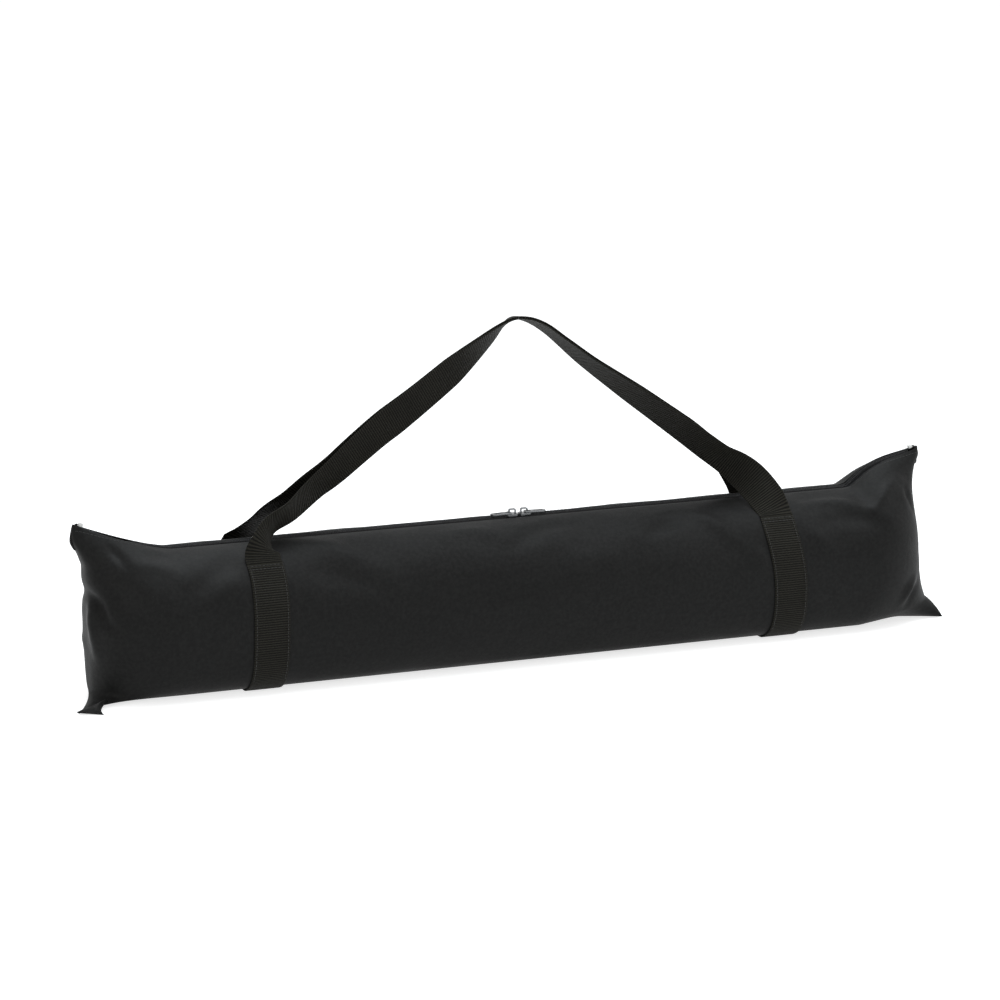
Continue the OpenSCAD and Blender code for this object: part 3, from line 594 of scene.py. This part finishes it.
shape = creased(simulate())
shape[:, 2] = np.maximum(shape[:, 2], LOWEST)
set_shape(shape)
subdivide = shell.modifiers.new("subdivide", "SUBSURF")
subdivide.levels = subdivide.render_levels = 1
subdivide.boundary_smooth = "PRESERVE_CORNERS"
thick = shell.modifiers.new("thickness", "SOLIDIFY")
thick.thickness = 0.0009
thick.offset = -1
apply_modifiers(shell)
dress(shell, SHELL, "bag", "shell_fabric", "front_panel", "back_panel")


# ---------------- webbing
PROFILE = [(-20, 0.25), (-19.75, 0.7), (-19.2, 0.95), (-17.9, 1.0), (-17.4, 0.94), (-12, 1.0), (-6, 1.0), (0, 1.0),
           (6, 1.0), (12, 1.0), (17.4, 0.94), (17.9, 1.0), (19.2, 0.95), (19.75, 0.7), (20, 0.25)]


def strip(name, centre, across, normal, thickness=WEB_T, profile=PROFILE):
    """Webbing swept along centre. The arrays hold a point or a unit vector per station, in millimetres."""
    n = len(centre)
    top = [(a, thickness / 2 * b) for a, b in profile]
    ring = top + [(a, -b) for a, b in top[::-1]]
    m = len(ring)
    pts = np.stack([centre + across * a + normal * b for a, b in ring], 1).reshape(-1, 3)
    reach = reach_along(centre) * 0.001
    us = [a * 0.001 for a, _ in ring]
    faces, uv = [], []
    for i in range(n - 1):
        for j in range(m):
            j2 = (j + 1) % m
            faces.append([i * m + j, (i + 1) * m + j, (i + 1) * m + j2, i * m + j2])
            uv += [(us[j], reach[i]), (us[j], reach[i + 1]), (us[j2], reach[i + 1]), (us[j2], reach[i])]
    for i, flip in ((0, False), (n - 1, True)):
        half = m // 2
        for j in range(half - 1):
            quad = [i * m + j, i * m + j + 1, i * m + m - 2 - j, i * m + m - 1 - j]
            corner_u = [us[j], us[j + 1], us[j + 1], us[j]]
            if flip:
                quad, corner_u = quad[::-1], corner_u[::-1]
            faces.append(quad)
            uv += [(u, reach[i]) for u in corner_u]
    return make_mesh(name, pts, faces, uv)


BAND_END = 50.0           # a band ends and the handle's own webbing starts at this angle
FRONT_LEAN = 7.5          # how far the right band leans inwards at the front shoulder
BAND_MID = FIT + WEB_T / 2


def loop_path(top_angle, offset):
    """Way of a band from its front end under the bag to its back end, evenly spaced, with outward normals."""
    a = np.linspace(top_angle, -90, 600)
    y, z = section(a, -offset)
    half = np.stack([-y, z], -1)
    other = half[::-1] * [-1, 1]
    line = np.concatenate([half, other[1:]])
    line, length = even(line, int(2 * 210 / 4))
    d = directions(line)
    normal = np.stack([d[:, 1], -d[:, 0]], -1) * -1
    middle = np.array([0, BELLY_Z])
    flip = np.sign(np.sum((line - middle) * normal, axis=1))
    return line, normal * flip[:, None]


def band_way(bx, line):
    """X of a band along its loop: it wanders a little, and the right one leans inwards at the front shoulder."""
    lean = FRONT_LEAN * smooth(60, 146, line[:, 1]) * (line[:, 0] < 0) * (bx > 0)
    return bx + 0.9 * np.sin(np.linspace(0, 9, len(line)) + bx) * smooth(0, 20, 146 - line[:, 1]) - lean


def band_piece(name, bx, replaced):
    line, normal = loop_path(BAND_END, BAND_MID)
    n = len(line)
    centre = np.stack([band_way(bx, line), line[:, 0], np.maximum(line[:, 1], WEB_T / 2 + 0.02)], -1)
    across = np.tile([1.0, 0, 0], (n, 1))
    normals = np.stack([np.zeros(n), normal[:, 0], normal[:, 1]], -1)
    piece = strip(name, centre, across, normals)
    return dress(piece, WEBBING, "bag", "webbing", replaced)


band_piece("left_band_webbing", BAND_X[0], "left_band")
band_piece("right_band_webbing", BAND_X[1], "right_band")

# Way of the handles in X and Z, up the left leg and down the right one
LEFT_LEG = [(-312, 146.5), (-311, 156), (-307, 165.5), (-300, 174), (-288, 181), (-271, 187.5), (-253, 198),
            (-235, 210.5), (-213, 227), (-190, 245), (-161, 266.5), (-134, 284.5), (-90, 315.5), (-56, 341),
            (-33, 359), (-17, 372), (-8, 377.2), (0, 378.4)]
RIGHT_LEG = [(10, 376.6), (28, 368), (52, 349.5), (83, 324), (134, 287), (198, 240), (238, 209.5), (258, 195.5),
             (271, 183), (280, 170), (287, 158), (291.5, 149), (292.5, 146.5)]
APEX_Z = 378.473
SHOULDER_Y, SHOULDER_Z = section(SHOULDER_ANGLE, -BAND_MID)


def catmull(points, per=8):
    """Smooth curve through the points."""
    p = np.array(points, float)
    p = np.concatenate([[2 * p[0] - p[1]], p, [2 * p[-1] - p[-2]]])
    out = []
    for i in range(1, len(p) - 2):
        for s in np.linspace(0, 1, per, endpoint=False):
            a, b, c, d = p[i - 1], p[i], p[i + 1], p[i + 2]
            out.append(0.5 * ((2 * b) + (c - a) * s + (2 * a - 5 * b + 4 * c - d) * s * s
                              + (3 * b - a - 3 * c + d) * s ** 3))
    out.append(p[-2])
    return np.array(out)


TWIST = [(-311, 66), (-306, 50), (-290, 46), (-270, 50), (-230, 58), (-150, 76), (-78, 66), (-30, 36), (0, 8), (45, 7),
         (82, 16), (137, 29), (198, 37), (245, 42), (268, 58), (284, 84)]
BACK_TURN = [(-311, 0), (-300, -4), (-278, -2), (-250, 10), (-235, 14), (-190, 10), (-120, 0), (198, 0), (245, -16),
             (284, -24)]
MEET = {-1: 0.28, 1: 0.36}         # share of the rise above which each handle lies against the other
BACK_SHIFT = {-1: 15.0, 1: 7.0}    # how far the back handle lies to the right just above its left and right foot


def twist_at(x):
    """Twist of the webbing in degrees: 90 shows its face to the front, 0 its edge."""
    return np.interp(x, [a for a, _ in TWIST], [b for _, b in TWIST])


def handle_piece(name, side, replaced):
    """Handle from the band on the left, over the apex, to the band on the right. side is -1 for the front."""
    route = catmull(LEFT_LEG + RIGHT_LEG)
    route, _ = even(route, 190)
    high = (route[:, 1] - SHOULDER_Z) / (APEX_Z - SHOULDER_Z)
    drift = smooth(0, 0.1, high) * (1 - smooth(0.10, 0.28, high))
    x = route[:, 0] + (np.where(route[:, 0] < 0, BACK_SHIFT[-1], BACK_SHIFT[1]) * drift if side > 0 else 0)
    if side > 0:
        x += FRONT_LEAN * (1 - smooth(0, 0.12, high)) * (x > 0)
    line = np.stack([x, side * SHOULDER_Y * (1 - smooth(0, MEET[side], high)), route[:, 1]], -1)
    # Both ends run down over the shoulder onto the band
    a = np.linspace(BAND_END, SHOULDER_ANGLE - 1.0, 7)
    y, z = section(a, -BAND_MID)
    foot = np.stack([np.zeros(7), side * y, z], -1)
    left, right = foot.copy(), foot[::-1].copy()
    left[:, 0], right[:, 0] = BAND_X[0], BAND_X[1] - (FRONT_LEAN if side < 0 else 0)
    line = np.concatenate([left, line, right])
    line, _ = even(softened(line, 3), 220)
    d = directions(line)
    turn = twist_at(line[:, 0])
    if side > 0:
        turn = turn + np.interp(line[:, 0], *zip(*BACK_TURN))
    softened(turn, 3)
    turn = np.radians(turn)
    flat = np.hypot(d[:, 0], d[:, 2])
    dx, dz = d[:, 0] / flat, d[:, 2] / flat
    across = np.stack([-dz * np.sin(turn), -np.cos(turn), dx * np.sin(turn)], -1)
    # On the shoulder the webbing lies across the bag's length
    low = 1 - (smooth(149, 162, line[:, 2]) if side < 0 else smooth(146, 154, line[:, 2]))
    sign = np.where(line[:, 0] < 0, -1.0, 1.0)
    lying = np.stack([sign, np.zeros(len(line)), np.zeros(len(line))], -1)
    across = across * (1 - low[:, None]) + lying * low[:, None]
    across -= d * np.sum(across * d, axis=1)[:, None]
    across /= np.linalg.norm(across, axis=1)[:, None]
    normal = np.cross(across, d)
    part = smooth(0, MEET[side], (line[:, 2] - SHOULDER_Z) / (APEX_Z - SHOULDER_Z))
    line = line + normal * (side * part * (WEB_T + 0.4) / 2)[:, None]
    piece = strip(name, line, across, normal)
    dress(piece, WEBBING, None, "webbing", replaced)
    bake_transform(piece)
    return piece


handle_piece("front_handle_webbing", -1, "front_handle")
handle_piece("back_handle_webbing", 1, "back_handle")


# ---------------- zip
RIDGE_STEPS = 420


def sunk(line):
    """The zip sinks between the hems towards both corners."""
    line[:, 2] -= 4.4 * smooth(415, 460, np.abs(line[:, 0]))
    return line


def middle_line(side, angle, inside):
    """Points of the full section's length at an angle, from left to right."""
    y, z = section(angle, inside)
    return raised(np.stack([MID_X, np.full_like(MID_X, side * y), np.full_like(MID_X, z)], -1))


def ridge_line(side, y_at, inside, reach=0.995):
    """Points along the ridge at a half-depth y of the full section, from left to right."""
    angle = ridge_angle(y_at, inside)
    t = np.linspace(0, reach, 60)
    right = skin_point(side, 1, t, np.full_like(t, angle), inside)
    left = skin_point(side, -1, t, np.full_like(t, angle), inside)[::-1]
    return even(np.concatenate([left, middle_line(side, angle, inside), right]), RIDGE_STEPS)[0]


def zip_tape(name, side, replaced):
    lines = [sunk(ridge_line(side, y, TAPE_IN)) for y in np.linspace(COIL_GAP / 2, COIL_GAP / 2 + TAPE_W, 8)]
    grid = np.stack(lines, 1)
    n, m = grid.shape[:2]
    lower = grid - [0, 0, TAPE_T]
    pts = np.concatenate([grid.reshape(-1, 3), lower.reshape(-1, 3)])
    faces, uv = [], []
    u = np.linspace(0, TAPE_W, m) * 0.001
    v = np.arange(n) * 0.0024
    for i in range(n - 1):
        for j in range(m - 1):
            corners = [(i, j), (i, j + 1), (i + 1, j + 1), (i + 1, j)]
            if side > 0:
                corners = corners[::-1]
            faces.append([a * m + b for a, b in corners])
            uv += [(u[b], v[a]) for a, b in corners]
            faces.append([n * m + a * m + b for a, b in corners[::-1]])
            uv += [(u[b], v[a]) for a, b in corners[::-1]]
    for i in range(n - 1):
        for j in (0, m - 1):
            quad = [i * m + j, (i + 1) * m + j, n * m + (i + 1) * m + j, n * m + i * m + j]
            faces.append(quad)
            uv += [(u[j], v[i]), (u[j], v[i + 1]), (u[j], v[i + 1]), (u[j], v[i])]
    piece = make_mesh(name, pts, faces, uv)
    return dress(piece, TAPE, "bag", "zip_tape", replaced)


zip_tape("front_tape_weave", -1, "front_zip_tape")
zip_tape("back_tape_weave", 1, "back_zip_tape")


STOP_X = {-1: 501.0, 1: 482.0}           # where each end stop lies
STOP_LEN = 5.0
STOP_Y, STOP_UP = -2.4, 1.3              # its middle, before the zip's middle and above it
STOP_HALF = (STOP_LEN / 2, 2.6, 2.1)     # half its length, width and height


def zip_middle(end):
    """Middle of the zip from the full section almost to the end seam."""
    t = np.linspace(0, 0.999, 240)
    line = skin_point(-1, end, t, np.full_like(t, 90.0), TAPE_IN)
    line[:, 1] = 0
    return line


def chain_line(end, reach_x):
    """Middle of the zip from the full section to half a stop's length short of the given distance out."""
    line = zip_middle(end)
    return line[np.abs(line[:, 0]) < reach_x - STOP_LEN / 2]


def zip_coil(name, side, replaced):
    """Row of nylon loops along the ridge, each one a bent strand over the tape's edge."""
    pitch = 1.9
    past = 0 if side < 0 else STOP_LEN
    middle = middle_line(0, 90.0, TAPE_IN)
    line = np.concatenate([chain_line(-1, STOP_X[-1] + past)[::-1], middle, chain_line(1, STOP_X[1] + past)])
    count = int(np.sum(np.linalg.norm(np.diff(line, axis=0), axis=1)) / pitch)
    line, _ = even(sunk(line), count)
    d = directions(line)
    arc = np.radians([-8, 30, 65, 100, 140, 188])
    sides = 6
    pts, faces = [], []
    for i in range(len(line)):
        up = np.array([-d[i, 2], 0, d[i, 0]])
        base = len(pts)
        shift = 0.25 * pitch * side
        for a in arc:
            radial = np.array([0, side * math.cos(a), 0]) * -1 + up * math.sin(a)
            mid = line[i] + d[i] * shift + np.array([0, side * (COIL_GAP / 2 + COIL_W / 2), 0])
            mid = mid + np.array([0, -side * math.cos(a) * (COIL_W / 2 - 0.35), 0])
            mid = mid + up * (math.sin(a) * (COIL_H - 0.5) + 0.2)
            for b in np.linspace(0, 2 * math.pi, sides, endpoint=False):
                pts.append(mid + radial * 0.36 * math.cos(b) + d[i] * 0.62 * math.sin(b))
        faces += ring_faces(base, len(arc), sides)
    piece = make_mesh(name, pts, faces)
    return dress(piece, COIL, "bag", "zip_coil", replaced)


zip_coil("front_coil_loops", -1, "front_zip_coil")
zip_coil("back_coil_loops", 1, "back_zip_coil")


def rounded(name, centre, slope, half, end):
    """Moulded stop: a rounded block with a groove between its two jaws, tilted along the ridge."""
    us, vs = np.linspace(-math.pi, math.pi, 29)[:-1], np.linspace(-math.pi / 2, math.pi / 2, 13)

    def power(v, n):
        return np.sign(v) * np.abs(v) ** n

    u, v = np.meshgrid(us, vs)
    x = half[0] * power(np.cos(v), 0.45) * power(np.cos(u), 0.45)
    y = half[1] * power(np.cos(v), 0.45) * power(np.sin(u), 0.45)
    z = half[2] * power(np.sin(v), 0.45) * (1 - 0.35 * np.exp(-(y / 0.8) ** 2) * (np.sin(v) > 0))
    c, s = math.cos(slope), math.sin(slope)
    pts = np.stack([centre[0] + end * (x * c - z * s), centre[1] + y, centre[2] + x * s + z * c], -1).reshape(-1, 3)
    faces = ring_faces(0, len(vs), len(us))
    return make_mesh(name, pts, faces if end > 0 else [quad[::-1] for quad in faces])


def zip_stop(end, name, replaced):
    line = zip_middle(end)
    at = np.abs(line[:, 0])
    z = float(np.interp(STOP_X[end], at, line[:, 2]))
    ahead, behind = (float(np.interp(STOP_X[end] + d, at, line[:, 2])) for d in (3, -3))
    slope = math.atan((ahead - behind) / 6)
    block = rounded(name, (end * STOP_X[end], STOP_Y, z + STOP_UP), slope, STOP_HALF, end)
    return dress(block, STOP, "bag", "zip_stop", replaced)


zip_stop(-1, "left_end_stop", "left_zip_stop")
zip_stop(1, "right_end_stop", "right_zip_stop")


def ear_flap(name):
    """Seam allowance that is turned out forwards at the left corner's foot and lies on the floor."""
    tip, heel = np.array([-527.0, -62.0, 3.2]), np.array([-487.0, -40.0, 8.0])
    toe = np.array([-507.0, -72.5, 0.9])
    across, along = 14, 24
    pts, faces = [], []
    for i in range(along + 1):
        s = i / along
        root = tip + (heel - tip) * s
        way = (toe - tip) * (1 - s) * 0.5 + (toe - root)
        far = root + way * (math.sin(math.pi * s) ** 0.6) * 0.94
        for j in range(across + 1):
            w = j / across
            lift = 2.6 * math.sin(math.pi * w) * math.sin(math.pi * s) + 0.5 * math.sin(9 * s + 4 * w)
            pts.append(root + (far - root) * w + [0, 0, max(lift, 0)])
    for i in range(along):
        for j in range(across):
            a = i * (across + 1) + j
            faces.append([a, a + 1, a + across + 2, a + across + 1])
    uvs = [(0.03 * (k % (across + 1)) / across, 0.03 * (k // (across + 1)) / along) for f in faces for k in f]
    piece = make_mesh(name, pts, faces, uvs)
    solid = piece.modifiers.new("thickness", "SOLIDIFY")
    solid.thickness = 0.0011
    solid.offset = 0
    apply_modifiers(piece)
    return dress(piece, SHELL, "bag", "shell_fabric")


ear_flap("left_ear_flap")


def seam_path(end, q_from, q_to, back_in, count):
    """Points on the end seam between two shares of the way round, from up to down, moved inwards."""
    angle = 90 - 180 * np.linspace(q_from, q_to, count)
    line = skin_point(-1, end, np.ones(count), angle, 0.0)
    line[:, 1] += LAP + WALL
    line[:, 0] -= end * back_in
    return line


def seam_tape(end, name, replaced):
    """Binding of the end seam, a tape on edge inside the bag."""
    line = seam_path(end, 0.27, 0.66, 6.0, 60)
    line[:, 1] = 0
    n = len(line)
    profile = [(a * 0.2, b) for a, b in PROFILE]
    piece = strip(name, line, np.tile([1.0, 0, 0], (n, 1)), np.tile([0, 1.0, 0], (n, 1)), 1.0, profile)
    return dress(piece, WEBBING, "bag", "webbing", replaced)


seam_tape(-1, "left_binding_tape", "left_seam_binding")
seam_tape(1, "right_binding_tape", "right_seam_binding")


def tube(name, line, half_y, half_flat, sides=12):
    """Soft roll of cloth along a line in the X-Z plane, tapered at both ends."""
    d = np.gradient(line, axis=0)
    d[:, 1] = 0
    d /= np.linalg.norm(d, axis=1)[:, None]
    up = np.stack([-d[:, 2], np.zeros(len(d)), d[:, 0]], -1)
    share = np.linspace(0, 1, len(line))
    size = np.sqrt(np.clip(np.minimum(share, 1 - share) * 9, 0.04, 1))
    turn = np.linspace(0, 2 * math.pi, sides, endpoint=False)
    pts = np.stack([line + np.array([0, half_y * math.cos(a), 0]) * size[:, None]
                    + up * (half_flat * math.sin(a) * size)[:, None] for a in turn], 1).reshape(-1, 3)
    faces, uv = ring_faces(0, len(line), sides), []
    reach = reach_along(line) * 0.001
    for i in range(len(line) - 1):
        for j in range(sides):
            uv += [(j * 0.0012, reach[i]), ((j + 1) * 0.0012, reach[i]), ((j + 1) * 0.0012, reach[i + 1]),
                   (j * 0.0012, reach[i + 1])]
    faces += [list(range(sides))[::-1], [(len(line) - 1) * sides + j for j in range(sides)]]
    uv += [(0, 0)] * (2 * sides)
    return make_mesh(name, pts, faces, uv)


def corner_roll(end, name):
    """The cloth turned over the end of the zip, which closes the corner and rounds it."""
    ridge = chain_line(end, 2000)
    ridge = ridge[(np.abs(ridge[:, 0]) > STOP_X[end] + STOP_LEN / 2 + 0.2)]
    ridge[:, 2] += TAPE_IN - 1.0
    down = seam_path(end, 0.0, 0.13, 1.6, 30)
    down[:, 1] = 0
    line = np.concatenate([ridge[:-2:2], down[1:]])
    line = even(line, 30)[0]
    return dress(tube(name, softened(line, 3), 2.6, 2.2), SHELL, "bag", "shell_fabric")


corner_roll(-1, "left_corner_roll")
corner_roll(1, "right_corner_roll")


# ---------------- stitching
# Rings of one stitch: place along it, share of its thickness, and share of its lift
BEAD = ((-0.5, 0.45, -0.5), (-0.34, 0.95, 0.6), (0, 1.0, 1.0), (0.34, 0.95, 0.6), (0.5, 0.45, -0.5))


def stitches(name, runs, length=3.2, gap=1.0, thick=0.34, lift=0.12):
    """Rows of sewn thread. A run is (points, normals); each stitch is a low bead that dips at both ends."""
    pts, faces = [], []
    sides = 6
    for line, normal in runs:
        total = np.sum(np.linalg.norm(np.diff(line, axis=0), axis=1))
        count = max(2, int(total / (length + gap)))
        both = np.concatenate([line, normal], axis=1)
        reach = reach_along(line)

        def at(s):
            return np.array([np.interp(s, reach, both[:, c]) for c in range(6)])

        for i in range(count):
            s0 = (i + 0.5) * total / count
            base = len(pts)
            for f, r, h in BEAD:
                here = at(s0 + f * length)
                ahead = at(s0 + f * length + 0.4)[:3] - at(s0 + f * length - 0.4)[:3]
                ahead /= max(np.linalg.norm(ahead), 1e-6)
                n = here[3:] / max(np.linalg.norm(here[3:]), 1e-6)
                across = np.cross(n, ahead)
                mid = here[:3] + n * (lift * h)
                for b in np.linspace(0, 2 * math.pi, sides, endpoint=False):
                    pts.append(mid + (across * math.cos(b) + n * math.sin(b)) * thick * r)
            faces += ring_faces(base, len(BEAD), sides)
    return make_mesh(name, pts, faces)


def band_runs(bx):
    line, normal = loop_path(BAND_END - 3, BAND_MID)
    keep = line[:, 1] > 14
    runs = []
    for side in (-1, 1):
        part = keep & (np.sign(line[:, 0]) == side)
        n = int(part.sum())
        nn = np.stack([np.zeros(n), normal[part, 0], normal[part, 1]], -1)
        for a in (-17.65, 17.65):
            pts = np.stack([band_way(bx, line)[part] + a, line[part, 0], line[part, 1]], -1) + nn * (WEB_T / 2 * 0.94)
            runs.append((pts, nn))
        # Bar tacks where the handle leaves the band
        for angle in (BAND_END - 1.5, BAND_END - 4.5):
            y, z = section(angle, -BAND_MID - WEB_T / 2)
            y1, z1 = section(angle + 1, -BAND_MID - WEB_T / 2)
            tangent = np.array([0, side * (y1 - y), z1 - z])
            tangent /= np.linalg.norm(tangent)
            out = np.cross(tangent, [1.0, 0, 0])
            out *= np.sign(out[2])
            middle = bx - (FRONT_LEAN if bx > 0 and side < 0 else 0)
            xs = np.linspace(middle - 17, middle + 17, 12)
            tack = np.stack([xs, np.full(12, side * float(y)), np.full(12, float(z))], -1)
            runs.append((tack, np.tile(out, (12, 1))))
    return runs


dress(stitches("left_band_stitching", band_runs(BAND_X[0])), THREAD, "bag", "webbing")
dress(stitches("right_band_stitching", band_runs(BAND_X[1])), THREAD, "bag", "webbing")


ZIP_SEAM_Y, ZIP_SEAM_REACH = 11.5, 0.86     # half-depth of the seam beside the zip, and its share of each end
LAY_FROM, LAY_REACH = 14, 0.03              # where the search for the shell starts, mm, and how far it looks, m


def surface_run(side):
    """Points and normals along the zip's edge, before they are laid on the shell."""
    line = ridge_line(side, ZIP_SEAM_Y, 0.0, ZIP_SEAM_REACH)
    normal = np.tile([0, side * 0.12, 0.99], (len(line), 1))
    return line, normal


tree = BVHTree.FromObject(shell, bpy.context.evaluated_depsgraph_get())


def laid(line, normal):
    """Moves each point along its normal onto the shell."""
    out = []
    for p, n in zip(line, normal):
        start_at = Vector((p + n * LAY_FROM) * 0.001)
        hit = tree.ray_cast(start_at, Vector(-n), LAY_REACH)[0]
        out.append(np.array(hit) * 1000 if hit else p)
    return np.array(out), normal


zip_runs = [laid(*surface_run(side)) for side in (-1, 1)]
dress(stitches("zip_edge_stitching", zip_runs, thick=0.2, lift=0.02), THREAD, "bag", "shell_fabric")


# ---------------- floor and light
FLOOR_GLOW, ROOM_LIGHT, WHITE = 0.74, 0.42, 1.0     # seen lift of the floor, light of the world, seen background


def background_rays(tree):
    """Socket that is 1 for the rays that see the background: camera, glossy and transmission rays."""
    rays = tree.nodes.new("ShaderNodeLightPath").outputs
    seen = rays["Is Camera Ray"]
    for kind in ("Is Glossy Ray", "Is Transmission Ray"):
        either = tree.nodes.new("ShaderNodeMath")
        either.operation = "MAXIMUM"
        tree.links.new(seen, either.inputs[0])
        tree.links.new(rays[kind], either.inputs[1])
        seen = either.outputs[0]
    return seen


def stage_plane():
    """Pale floor that carries the object's shadow; what looks at the background sees it lifted towards white."""
    mat, shader, add, link = material("floor")
    grain = speckle(add, add("ShaderNodeTexCoord").outputs["Object"], 3.0)
    link(ramp(add, grain, [(0.3, 0.66), (0.7, 0.68)]), shader.inputs["Base Color"])
    shader.inputs["Roughness"].default_value = 0.9
    shader.inputs["Specular IOR Level"].default_value = 0.1
    seen = background_rays(mat.node_tree)
    glow = add("ShaderNodeEmission", {"Color": (1, 1, 1, 1), "Strength": maths(add, "MULTIPLY", seen, FLOOR_GLOW)})
    total = add("ShaderNodeAddShader", {0: shader.outputs[0], 1: glow.outputs[0]})
    link(total.outputs[0], mat.node_tree.nodes["Material Output"].inputs["Surface"])
    floor = make_mesh("floor", [(-30000, -30000, 0), (30000, -30000, 0), (30000, 60000, 0), (-30000, 60000, 0)],
                      [(0, 1, 2, 3)])
    floor.data.materials.append(mat)
    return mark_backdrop(floor)


stage_plane()


def area_light(name, location, target, size, power, colour=(1, 1, 1)):
    data = bpy.data.lights.new(name, "AREA")
    data.shape = "RECTANGLE"
    data.size, data.size_y = size
    data.energy = power
    data.color = colour
    light = bpy.data.objects.new(name, data)
    scene.collection.objects.link(light)
    light.location = location
    light.rotation_euler = (Vector(target) - Vector(location)).to_track_quat("-Z", "Y").to_euler()
    return light


area_light("top", (0.3, 0.1, 2.3), (0.1, 0, 0.1), (2.6, 1.3), 50, (0.90, 0.96, 1.0))
area_light("front_left", (-2.2, -2.6, 1.6), (0, 0, 0.15), (1.6, 1.6), 15, (1.0, 0.99, 0.97))
area_light("right", (2.6, -1.2, 1.4), (0.1, 0, 0.15), (1.4, 1.4), 9)
world = bpy.data.worlds.new("studio")
scene.world = world
world.use_nodes = True
tree_w = world.node_tree
background = tree_w.nodes["Background"]
background.inputs["Color"].default_value = (1, 1, 1, 1)
background.inputs["Strength"].default_value = ROOM_LIGHT
white = tree_w.nodes.new("ShaderNodeBackground")
white.inputs["Strength"].default_value = WHITE
mix = tree_w.nodes.new("ShaderNodeMixShader")
for i, socket in enumerate((background_rays(tree_w), background.outputs[0], white.outputs[0])):
    tree_w.links.new(socket, mix.inputs[i])
tree_w.links.new(mix.outputs[0], tree_w.nodes["World Output"].inputs["Surface"])
scene.view_settings.view_transform = "Standard"
